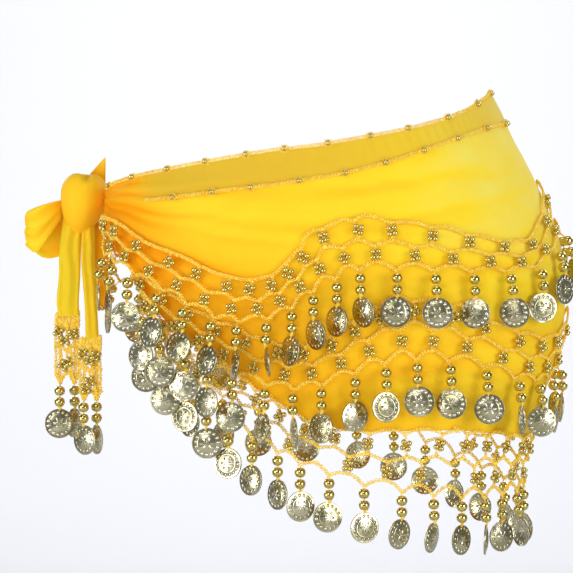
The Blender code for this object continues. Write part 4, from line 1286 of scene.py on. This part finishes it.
@dataclass
class NetWork:
    """A strip of net: its chains, flowers of four beads and drops with coins.

    Places along it are counted in columns. Its top chain is pulled straight up to column `taut`,
    and a coin that hangs edge-on is pushed out by up to `edge_push`, clear of the cloth.
    """

    name: str
    node: str
    first: float
    last: float
    ends: tuple[float, ...] = ()
    swings: Swings = field(default_factory=dict)
    taut: float = -9.0
    petal_reach: float = 2.95
    petal_rise: float = 1.2
    flower_ring: float = 1.5
    flower_thread: float = 0.75
    stem_width: float = 1.0
    coin_loop: tuple[float, float] = (0.9, 1.5)
    loop_thread: float = 0.45
    edge_push: float = 11.0
    chain: Chain = field(default_factory=Chain)
    pearls: list[Matrix] = field(default_factory=list)
    beads: list[Matrix] = field(default_factory=list)
    threads: list[Matrix] = field(default_factory=list)
    coins: list[Matrix] = field(default_factory=list)

    def place(self, along: float, down: float, rise: float) -> Vector:
        """A point of the net at a place along it and a share of the way down."""
        raise NotImplementedError

    def outward(self, along: float, down: float) -> Vector:
        """The outward direction of the net there."""
        return (self.place(along, down, 1) - self.place(along, down, 0)).normalized()

    def drop_at(self, column: int) -> Drop:
        """The drop that hangs from a column."""
        raise NotImplementedError

    def lay(self, places: Sequence[tuple[float, float]], rise: float, width: float = 0.0) -> None:
        """Lays a chain through places of the net."""
        points = [self.place(*at, rise) for at in places]
        self.chain.lay(points, [self.outward(*at) for at in places], width)

    def line(self, level: Callable[[float], float], rise: float = 0.0) -> None:
        """Lays a chain along the whole strip at a level that changes along it."""
        count = max(int((self.last - self.first) * 16), 8)
        alongs = [self.first + (self.last - self.first) * i / count for i in range(count + 1)]
        self.lay([self.slack(a, level(a)) for a in alongs], rise)

    def slack(self, along: float, down: float) -> tuple[float, float]:
        """A place of the net after its threads have pulled a little unevenly."""
        spot = Vector((along * 0.9, down * 2.2, self.first + len(self.name)))
        loose = max(1 - down, 0)
        return (along + 0.22 * loose * noise.noise(spot),
                down + 0.07 * loose * noise.noise(spot + Vector((GRAIN, 0, 0))))

    def stem(self, along: float, top: float, foot: float) -> None:
        """Lays a short chain down from one level to another."""
        places = [self.slack(along, top + (foot - top) * i / 3) for i in range(4)]
        self.lay(places, 0.1, self.stem_width)

    def flower(self, along: float, down: float) -> None:
        """Four beads in a square on a knot of thread, turned a little."""
        along, down = self.slack(along, down)
        centre = self.place(along, down, 0.2)
        out = self.outward(along, down)
        side = UPWARD.cross(out).normalized()
        up = out.cross(side).normalized()
        turn = 1.1 * noise.noise(centre * 0.9) + math.pi / 4
        for quarter in range(4):
            angle = turn + quarter * math.pi / 2
            ray = side * math.cos(angle) + up * math.sin(angle)
            spot = centre + ray * self.petal_reach + out * self.petal_rise
            spin = Matrix.Rotation(angle, 3, out)
            self.pearls.append(axes_matrix(spin @ side, spin @ up, out, spot, SMALL_BEAD))
        ring = [centre + (side * math.cos(t) + up * math.sin(t)) * self.flower_ring - out * 0.4
                for t in QUARTER_TURNS]
        self.chain.lay(ring, [out] * len(ring), self.flower_thread)

    def hang(self, drop: Drop, swing: tuple[float, float]) -> None:
        """Adds a drop's thread, its two beads and its coin.

        Args:
            drop: the drop's place.
            swing: how far the coin has swung round its thread and to its side (degrees).
        """
        edge_on = abs(math.sin(math.radians(swing[0])))
        push = 0.0 if drop.resting is None else max(self.edge_push * edge_on - 0.8 * drop.lift, 0)

        def centre(fall: float, reach: float, turned: float) -> Vector:
            """The drop's middle some way down, clear of what it rests on."""
            spot = drop.start - Vector((0, 0, fall))
            if drop.resting is not None:
                spot += drop.away * max((drop.resting(spot.z) - spot).dot(drop.away), 0)
            return spot + drop.away * (drop.lift * reach + drop.step * turned + push * reach ** 8)

        knots = [centre(*at) for at in DROP_KNOTS]
        for upper, lower in zip(knots, knots[1:]):
            run = upper - lower
            side = run.cross(drop.away).normalized()
            face = side.cross(run).normalized()
            self.threads.append(axes_matrix(side * THREAD_RADIUS, face * THREAD_RADIUS, run, upper))
        spin = Matrix.Rotation(drop.seed * 2.0, 3, "Z")
        for spot, size in ((knots[1], BIG_BEAD), (knots[2], BIG_BEAD * 0.985)):
            self.beads.append(axes_matrix(spin @ drop.along, spin @ drop.away, UPWARD, spot, size))
        self.hang_coin(drop, centre(COIN_TOP, 1.0, 1.0), centre(COIN_FOOT, 1.0, 1.0), swing)

    def hang_coin(self, drop: Drop, top: Vector, foot: Vector, swing: tuple[float, float]) -> None:
        """Adds a drop's coin between two points, turned and swung, with the loop that holds it."""
        up = (top - foot).normalized()
        turn = math.radians(drop.turn + swing[0]) + 0.08 * drop.seed
        across = Matrix.Rotation(turn, 3, "Z") @ drop.along
        face = across.cross(up).normalized()
        across = up.cross(face).normalized()
        sway = Matrix.Rotation(0.05 * drop.seed + math.radians(swing[1]), 3, "Y")
        nod = Matrix.Rotation(0.10 * noise.noise(top * 1.7), 3, across)
        across, up, face = sway @ across, sway @ nod @ up, sway @ nod @ face
        middle = top - up * (top - foot).length / 2
        self.coins.append(axes_matrix(across, up, face, middle, COIN_RADIUS))
        width, height = self.coin_loop
        loop = [top + up * 1.2 + (across * math.cos(t) * width + up * math.sin(t) * height)
                for t in QUARTER_TURNS]
        self.chain.lay(loop, [face] * len(loop), self.loop_thread)

    def top_level(self, along: float) -> float:
        """The top chain's level, straight where the cloth pulls it taut and scalloped elsewhere."""
        scallop = (TOP_RISE - TOP_LINE) * math.sin(apart(along) * math.pi / 2)
        loose = rising(self.taut, self.taut + 2, along)
        return TOP_LINE + 0.7 * (TOP_RISE - TOP_LINE) * (1 - loose) + scallop * loose

    def build(self) -> None:
        """Builds and dresses all of the strip."""
        self.line(self.top_level, 0.2)
        self.line(lambda a: FIRST_ARCH + (FIRST_DIP - FIRST_ARCH) * apart(a) ** 1.3)
        self.line(lambda a: SECOND_ARCH + (SECOND_DIP - SECOND_ARCH) * (1 - apart(a)) ** 1.9)
        for end in self.ends:
            self.stem(end, TOP_LINE, SECOND_ARCH)
        for column in range(math.ceil(self.first), math.floor(self.last) + 1):
            self.stem(column, TOP_LINE, FIRST_ARCH)
            self.flower(column, FIRST_FLOWER)
            self.hang(self.drop_at(column), self.swings.get(column, (0.0, 0.0)))
        for before in range(math.ceil(self.first - 0.5), math.floor(self.last - 0.4) + 1):
            half = before + 0.5
            if self.first + 0.1 <= half <= self.last - 0.1:
                self.stem(half, FIRST_DIP, SECOND_ARCH)
                self.flower(half, SECOND_FLOWER)
        for part, stamp, places, finish in (
            ("crochet", STITCH, self.chain.places, Finish.THREAD),
            ("threads", THREAD, self.threads, Finish.THREAD),
            ("flowers", PEARL, self.pearls, Finish.BEAD),
            ("beads", BEAD, self.beads, Finish.BEAD),
            ("coins", COIN, self.coins, Finish.COIN),
        ):
            WARDROBE.dress(stamp.build(f"{self.name}_{part}", places), finish, self.node)
        LOG.info("%s: %d drops, %d flowers", self.name, len(self.coins), len(self.pearls) // 4)


@dataclass
class TierNet(NetWork):
    """A strip of net that goes round the hip."""

    rows: Sequence[NetColumn] = ()
    hem: Optional[Sequence[ClothEdge]] = None
    lifts: dict[int, float] = field(default_factory=dict)

    def spot(self, along: float, down: float) -> tuple[float, float, float]:
        """The angle, the height and the distance out at a place of the net."""
        column = read_table(self.rows, along)
        top = column.top
        if self.hem is not None:
            top = read_table(self.hem, column.top_angle).hem + TIER_THREE_LAP
        angle = column.top_angle + (column.low_angle - column.top_angle) * down
        height = top + (column.low - top) * down
        rest = (angle, height) if self.hem is None else (column.top_angle, top)
        return angle, height, HIP.over_cloth(*rest, NET_CLEARANCE) + column.stand * down

    def place(self, along: float, down: float, rise: float) -> Vector:
        """A point of the net, in the middle of its thickness."""
        angle, height, out = self.spot(along, down)
        return HIP.point(angle, height, out + NET_WALL / 2 + rise)

    def drop_at(self, column: int) -> Drop:
        """The drop that hangs from a column, on what lies below it."""
        row = read_table(self.rows, column)
        angle, height, out = self.spot(column, 1)
        along, away = HIP.axes(angle, height)

        def resting(level: float) -> Vector:
            """The surface that the drop lies on at a level."""
            return HIP.point(angle, level, out + NET_WALL / 2)

        start = self.place(column, 1, 0)
        seed = 2 * noise.noise(start * 0.37 + Vector((GRAIN, 0, 0)))
        rests = resting if self.hem is None else None
        lift = self.lifts.get(column, row.lift)
        return Drop(start, along, away, lift, COIN_STEP * (column % 2), row.turn, rests, seed)


@dataclass
class TailNet(NetWork):
    """The flat strip of net on the end of a hanging tail."""

    left: float = 0.0
    right: float = 0.0
    top: float = 0.0
    low: float = 0.0
    middle: float = 0.0
    lifts: tuple[float, ...] = ()
    turns: tuple[float, ...] = ()
    more_flowers: tuple[tuple[float, float], ...] = ()
    head_rows: int = 5
    strands: int = 3
    chain: Chain = field(default_factory=lambda: Chain(2.2, 1.35, True))

    def place(self, along: float, down: float, rise: float) -> Vector:
        """A point of the net in front of the tail's end."""
        share = (along - self.first) / (self.last - self.first)
        x = self.left + (self.right - self.left) * share
        y = self.middle + 3.0 * (share - 0.5) ** 2 * down - rise
        return Vector((x, y, self.top + (self.low - self.top) * down))

    def drop_at(self, column: int) -> Drop:
        """The drop that hangs from a column."""
        start = self.place(column, 1, 0)
        seed = 2 * noise.noise(start * 0.37)
        return Drop(start, Vector((1, 0, 0)), Vector((0, -1, 0)), self.lifts[column], 0,
                    self.turns[column], None, seed)

    def bunch(self) -> None:
        """Adds the rows of the crocheted head and the strands that the bunched net shows."""
        for row in range(self.head_rows):
            self.line(lambda a, r=row: 0.042 * r - 0.03, -0.4 * (row % 2))
        for strand in range(self.strands):
            begin = self.first + (self.last - self.first) * (strand + 0.5) / self.strands
            finish = round(begin)
            places = []
            for share in (step / 12 for step in range(13)):
                drift = 0.34 * noise.noise(Vector((share * 2.9, strand * 3.1, self.left)))
                along = begin + (finish - begin) * share ** 1.6 + drift * math.sin(math.pi * share)
                places.append((along, 0.1 + 0.86 * share))
            self.lay(places, -0.9 + 1.5 * (strand % 2))

    def build(self) -> None:
        """Builds and dresses the tail's net."""
        self.bunch()
        for along, down in self.more_flowers:
            self.flower(along, down)
        super().build()


# ---------------------------------------------------------------- the knot and its tails


@dataclass
class Knot:
    """The round knot with soft wraps of cloth and a dimple on top."""

    centre: Place = (-160.6, -11.5, -46.3)
    radii: Place = (17.9, 23.0, 24.0)
    segments: int = 72
    rings: int = 48
    dimple_depth: float = 0.20
    wrap_depth: float = 0.05
    pinch_depth: float = 0.20
    heel_lean: float = 0.15

    def surface(self, vert: Vector) -> Vector:
        """Where a point of a unit ball lies on the knot."""
        angle, level = math.atan2(vert.y, vert.x), vert.z
        dimple = self.dimple_depth * math.exp(-((vert.x ** 2 + vert.y ** 2) / 0.07)) * (level > 0)
        wrap = 1 + self.wrap_depth * math.sin(3 * level + 2 * vert.y)
        fan = rising(-0.2, 0.9, level)
        for crease in KNOT_CREASES:
            bend = crease.angle + 0.35 * (1 - level) * math.sin(crease.angle * 2)
            wrap -= crease.depth * fan * bump_at(math.remainder(angle - bend, math.tau), crease.width)
        wrap += 0.015 * noise.noise(vert * 3.1)
        pinch = self.pinch_depth * bump_at(vert.x - 0.12, 0.16) * rising(0.55, 1, level)
        pinch *= rising(0.5, -0.2, vert.y)
        heel = rising(0.1, -1, level)
        wrap += 0.10 * heel * (vert.x < 0) * abs(vert.x)
        square = 1 + 0.09 * rising(0.1, 0.8, level) - 0.16 * heel
        x = vert.x * wrap * square - self.heel_lean * heel
        spot = (x, vert.y * (wrap - pinch), vert.z - dimple - pinch)
        return Vector([c + r * v for c, r, v in zip(self.centre, self.radii, spot)])

    def build(self) -> None:
        """The dressed knot."""
        bm = bmesh.new()
        bmesh.ops.create_uvsphere(
            bm, u_segments=self.segments, v_segments=self.rings, radius=1, calc_uvs=True)
        tint, band = bm.verts.layers.float.new("tint"), bm.verts.layers.float.new("band")
        for vert in bm.verts:
            # Painted shade: the tint deepens on the knot's underside and toward its right side, beside
            # the cloth.
            lower = 0.10 * rising(0.2, -0.9, vert.co.z)
            vert[tint] = 0.36 + lower + 0.08 * rising(0.3, 0.95, vert.co.x)
            vert[band] = 0.0
            vert.co = self.surface(vert.co.copy())
        piece = to_object("knot_cloth", bm)
        WARDROBE.dress(piece, Finish.CHIFFON, "knot")
        LOG.info("knot: wrapped chiffon")


@dataclass
class Tail:
    """A hanging end of gathered chiffon, pleated round its section."""

    name: str
    node: str
    sections: Sequence[TailSection]
    pleats: int
    phase: float
    tint: float
    cut: tuple[float, float]
    columns: int = 64
    rows: int = 36
    wall: float = 0.4
    pleat_depth: float = 0.15

    def place(self, across: float, up: float) -> Vector:
        """A point of the pleated tube at a share round it and up."""
        foot, head = self.sections[-1].height, self.sections[0].height
        height = foot + (head - foot) * up
        section = read_table(self.sections, height)
        turn = math.tau * across
        middle = (section.left + section.right) / 2
        half = (section.right - section.left) / 2 - 0.3
        drift = 0.5 * noise.noise(Vector((height * 0.04, self.phase, 3)))
        pleat = math.cos(self.pleats * turn + self.phase + drift * 4 + height * 0.012)
        x = middle + half * math.cos(turn) * (1 + 0.02 * pleat)
        bulge = 0.42 * math.sin(turn) + self.pleat_depth * pleat * abs(math.sin(turn))
        return Vector((x, section.middle + section.thickness * bulge, height))

    def tone(self, across: float, up: float) -> tuple[float, float]:
        """How deep orange the tail looks: most just under the knot, with stripes of painted shade along
        its pleats.
        """
        pleat = math.cos(self.pleats * math.tau * across + self.phase)
        return min(self.tint - 0.07 * pleat + 0.3 * rising(0.8, 1.0, up), 1), 0.0

    def build(self) -> None:
        """The dressed tail."""
        piece = sheet_grid(self.name, self.columns, self.rows, self.place, self.tone, self.cut,
                           self.wall)
        bm = bmesh.new()
        bm.from_mesh(piece.data)
        bmesh.ops.remove_doubles(bm, verts=bm.verts, dist=1e-6)
        bmesh.ops.recalc_face_normals(bm, faces=bm.faces)
        bm.to_mesh(piece.data)
        bm.free()
        WARDROBE.dress(piece, Finish.CHIFFON, self.node)
        LOG.info("%s: hanging end, cut %.3f by %.3f m", self.name, *self.cut)


@dataclass
class BowLoop:
    """The loop of chiffon pulled through the knot."""

    cut: tuple[float, float] = (0.090, 0.038)
    area: float = 0.0021
    columns: int = 96
    rows: int = 30

    def place(self, across: float, up: float) -> Vector:
        """A point of the strip at a share round the loop and up it."""
        station = read_table(BOW_LOOP, across * (len(BOW_LOOP) - 1))
        height = station.bottom + (station.top - station.bottom) * up
        flow = rising(0, 0.25, across) * rising(1, 0.75, across)
        ripple = 0.5 * math.sin(up * 27 + 1.3 + across * 3)
        wave = flow * (0.9 * math.sin(up * 15 + across * 5) + ripple)
        x = station.x - 0.6 * math.sin(math.pi * up) - 0.4 * wave * flow
        side = 1 if across < 0.5 else -1
        return Vector((x, station.y - side * (wave * 0.8 - 0.3), height))

    def tone(self, across: float, up: float) -> tuple[float, float]:
        """How deep orange the loop looks: most beside the knot, with painted shade and light along its
        folds.
        """
        near = rising(0.28, 0.0, across) + rising(0.72, 1.0, across)
        return min(0.24 + 0.4 * near + 0.12 * math.sin(up * 15 + across * 5 + 1.2), 1), 0.0

    def build(self) -> None:
        """The dressed loop."""
        piece = sheet_grid("bow_loop_cloth", self.columns, self.rows, self.place, self.tone, self.cut)
        WARDROBE.dress(piece, Finish.CHIFFON, "bow_loop")
        LOG.info("bow loop: folded chiffon")


@dataclass
class KnotTip:
    """The cloth's corner that stands up behind the knot."""

    left: Place = (-157.0, -4.0, -24.5)
    right: Place = (-145.4, -4.0, -34.5)
    point: Place = (-145.0, -6.0, -11.5)
    cut: tuple[float, float] = (0.016, 0.0215)
    area: float = 0.00016
    grid: int = 16

    def place(self, across: float, up: float) -> Vector:
        """A point of the corner, which narrows to its tip."""
        foot = Vector(self.left).lerp(Vector(self.right), across)
        spot = foot.lerp(Vector(self.point), up * (0.93 + 0.06 * math.sin(math.pi * across)))
        spot.y += 0.7 * math.sin(across * 7) * (1 - up)
        return spot

    def tone(self, across: float, up: float) -> tuple[float, float]:
        """How deep orange the corner looks: deeper toward its foot behind the knot."""
        return 0.25 + 0.5 * (1 - up), 0.1

    def build(self) -> None:
        """The dressed corner."""
        piece = sheet_grid("knot_tip_cloth", self.grid, self.grid, self.place, self.tone, self.cut)
        WARDROBE.dress(piece, Finish.CHIFFON, "knot_tip")
        LOG.info("knot tip: chiffon corner")


@dataclass
class TailEdging:
    """The beaded crochet edge on the end of the third tail."""

    corners: tuple[Place, ...] = (
        (-142.2, -11.5, -104), (-141.6, -11.8, -112), (-142.0, -12, -119),
        (-143.2, -12.2, -125.5), (-147.5, -12.4, -126.6), (-152.0, -12.4, -126.2),
    )
    facing: Place = (0.35, -0.94, 0)
    bead: float = 1.8
    bead_rise: float = 1.3

    def build(self) -> None:
        """The edging and its beads."""
        points = [Vector(corner) for corner in self.corners]
        out = Vector(self.facing).normalized()
        chain = Chain(1.7, 1.1)
        chain.lay(points, [out] * len(points))
        axes = (Vector((1, 0, 0)), Vector((0, 1, 0)), UPWARD)
        beads = [axes_matrix(*axes, point + out * self.bead_rise, self.bead) for point in points]
        WARDROBE.dress(chain.build("tail_3_edging"), Finish.THREAD, "tail_3")
        WARDROBE.dress(PEARL.build("tail_3_edging_beads", beads), Finish.BEAD, "tail_3")
        LOG.info("tail edging: %d beads", len(beads))


# ---------------------------------------------------------------- the studio


@dataclass(frozen=True)
class SoftLight:
    """A rectangular studio light that faces a point, seen in shiny pieces or not."""

    name: str
    place: Place
    target: Place
    width: float
    height: float
    power: float
    colour: Colour = (1.0, 1.0, 1.0)
    mirrored: bool = True

    def build(self) -> None:
        """Adds the light to the scene."""
        lamp = bpy.data.lights.new(self.name, "AREA")
        lamp.shape = "RECTANGLE"
        lamp.size, lamp.size_y = self.width, self.height
        lamp.energy = self.power
        lamp.color = self.colour
        light = bpy.data.objects.new(self.name, lamp)
        light.location = self.place
        light.visible_glossy = self.mirrored
        aim = Vector(self.target) - Vector(self.place)
        light.rotation_euler = aim.to_track_quat("-Z", "Y").to_euler()
        bpy.context.scene.collection.objects.link(light)


@dataclass
class Studio:
    """The pale sweep, the lights and the camera, in metres."""

    floor_height: float = -0.62
    floor_width: float = 9.0
    floor_start: float = -3.0
    sweep_length: float = 11.5
    bend_start: float = 3.0
    bend_radius: float = 1.6
    distance: float = 2.0
    centre_x: float = -0.008
    level: float = -0.110
    frame_width: float = 0.4355
    sensor: float = 36.0
    air: Colour = (0.20, 0.21, 0.22)
    air_strength: float = 0.9
    lights: tuple[SoftLight, ...] = (
        SoftLight("key", (-0.8, -2.1, 0.9), (0, 0, -0.1), 1.1, 1.1, 11),
        SoftLight("front_low", (-0.15, -1.5, -0.50), (-0.03, 0, -0.2), 1.4, 0.3, 7, mirrored=False),
        SoftLight("fill", (1.7, -1.6, 0.1), (0, 0, -0.1), 0.9, 1.2, 21, (0.97, 0.98, 1.0)),
        SoftLight("top", (0.1, -0.3, 1.8), (0, 0, -0.1), 1.4, 1.0, 7),
        SoftLight("left", (-1.85, -1.15, -0.2), (-0.06, 0, -0.12), 0.9, 1.1, 19),
        SoftLight("right_back", (1.5, 1.4, 0.9), (0, 0.1, -0.1), 1.2, 0.8, 14),
        SoftLight("left_back", (-1.4, 1.5, 0.8), (0, 0.1, -0.1), 1.2, 0.8, 12),
        SoftLight("wall_wash", (0.0, 2.7, 1.5), (0, 4.7, -0.62), 3.6, 0.8, 70, (0.97, 0.98, 1.0)),
    )

    def sweep(self) -> None:
        """The floor that curves up into the wall behind."""
        bm = bmesh.new()
        bmesh.ops.create_grid(bm, x_segments=2, y_segments=60, size=0.5)
        for vert in bm.verts:
            run = self.floor_start + (vert.co.y + 0.5) * self.sweep_length
            past = run - self.bend_start
            turn = min(max(past, 0) / self.bend_radius, math.pi / 2)
            y = min(run, self.bend_start) + self.bend_radius * math.sin(turn)
            z = self.floor_height + self.bend_radius * (1 - math.cos(turn))
            z += max(past - self.bend_radius * math.pi / 2, 0)
            vert.co = (vert.co.x * self.floor_width, y, z)
        floor = to_object("studio_sweep", bm, 1.0)
        floor.data.materials.append(StudioFinish().make())

    def camera(self) -> None:
        """The level camera in front, as far away as the view asks."""
        lens = bpy.data.cameras.new("view")
        lens.sensor_fit = "HORIZONTAL"
        lens.sensor_width = self.sensor
        lens.lens = self.sensor * self.distance / self.frame_width
        lens.clip_start = 0.05
        camera = bpy.data.objects.new("view", lens)
        camera.location = (self.centre_x, -self.distance, self.level)
        camera.rotation_euler = (math.pi / 2, 0, 0)
        bpy.context.scene.collection.objects.link(camera)
        bpy.context.scene.camera = camera

    def build(self) -> None:
        """The whole studio."""
        world = bpy.data.worlds.new("studio_air")
        world.use_nodes = True
        colour, strength = world.node_tree.nodes["Background"].inputs[:2]
        colour.default_value, strength.default_value = (*self.air, 1), self.air_strength
        bpy.context.scene.world = world
        bpy.context.scene.view_settings.view_transform = "Standard"
        self.sweep()
        self.camera()
        for light in self.lights:
            light.build()


# ---------------------------------------------------------------- the scarf


@dataclass
class HipScarf:
    """Every visible piece of the scarf."""

    def cloth(self) -> None:
        """The chiffon and the chains along its waist."""
        ClothHalf("chiffon_front", "cloth_front", 10, 180, 200, 96, (0.462, 0.275), 0.0775).build()
        ClothHalf("chiffon_back", "cloth_back", 180, 356.5, 160, 64, (0.503, 0.275), 0.0765).build()
        BeadedChain("waist_crochet_front", "waist_chain_front", waist_route, 12.5, 179.9).build()
        BeadedChain("waist_crochet_back", "waist_chain_back", waist_route, 180.1, 354).build()
        BeadedChain("fold_crochet_front", "fold_chain_front", fold_route, 44, 179.9, 20).build()
        BeadedChain("fold_crochet_back", "fold_chain_back", fold_route, 180.1, 316, 20).build()

    def nets(self) -> None:
        """The three tiers of net."""
        TierNet("tier_1_front", "tier1_net_front", -0.3, 18.5, (-0.3,), TIER_ONE_SWINGS, 7.5,
                rows=TIER_ONE_FRONT, lifts={0: 1.0, 1: 1.5}).build()
        TierNet("tier_1_back", "tier1_net_back", -0.5, 14.3, (14.3,), BACK_SWINGS,
                rows=TIER_ONE_BACK).build()
        TierNet("tier_2_front", "tier2_net_front", -0.12, 16.5, (), TIER_TWO_SWINGS,
                rows=TIER_TWO_FRONT).build()
        TierNet("tier_2_back", "tier2_net_back", -0.5, 11.12, (), BACK_SWINGS,
                rows=TIER_TWO_BACK).build()
        for side, arcs, rows, hem in (
            ("front", TIER_THREE_FRONT_ARCS, TIER_THREE_FRONT, FRONT_EDGES),
            ("back", TIER_THREE_BACK_ARCS, TIER_THREE_BACK, BACK_EDGES),
        ):
            for number, (first, last) in enumerate(arcs, 1):
                TierNet(f"tier_3_{side}_{number}", f"tier3_net_{side}_{number}", first, last, (),
                        TIER_THREE_SWINGS[side], rows=rows, hem=hem).build()

    def knot(self) -> None:
        """The knot, its loop and corner, and the tails with their nets."""
        Knot().build()
        KnotTip().build()
        BowLoop().build()
        Tail("tail_1_cloth", "tail_1", TAIL_ONE, 5, 0.4, 0.22, (0.037, 0.080)).build()
        Tail("tail_2_cloth", "tail_2", TAIL_TWO, 4, 2.1, 0.32, (0.0245, 0.094)).build()
        Tail("tail_3_cloth", "tail_3", TAIL_THREE, 4, 1.2, 0.80, (0.0245, 0.069)).build()
        TailNet("tail_1_net", "tail_net_1", -0.3, 1.3, (-0.3, 1.3), left=-182, right=-165,
                top=-132.4, low=-184, middle=-14, lifts=(5, -4), turns=(8, 66),
                more_flowers=((0.42, 0.33), (0.28, 0.72))).build()
        TailNet("tail_2_net", "tail_net_2", -0.3, 1.3, (-0.3, 1.3), left=-163, right=-148,
                top=-150.4, low=-196, middle=-22, lifts=(6, -1.5), turns=(-34, 72),
                more_flowers=((0.6, 0.30), (0.2, 0.8))).build()
        TailEdging().build()

    def build(self) -> None:
        """The whole scarf."""
        self.cloth()
        self.nets()
        self.knot()


def main() -> None:
    """Builds the scarf and its studio."""
    logging.basicConfig(level=logging.INFO, format="%(message)s")
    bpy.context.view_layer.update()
    HipScarf().build()
    Studio().build()


if __name__ == "__main__":
    main()
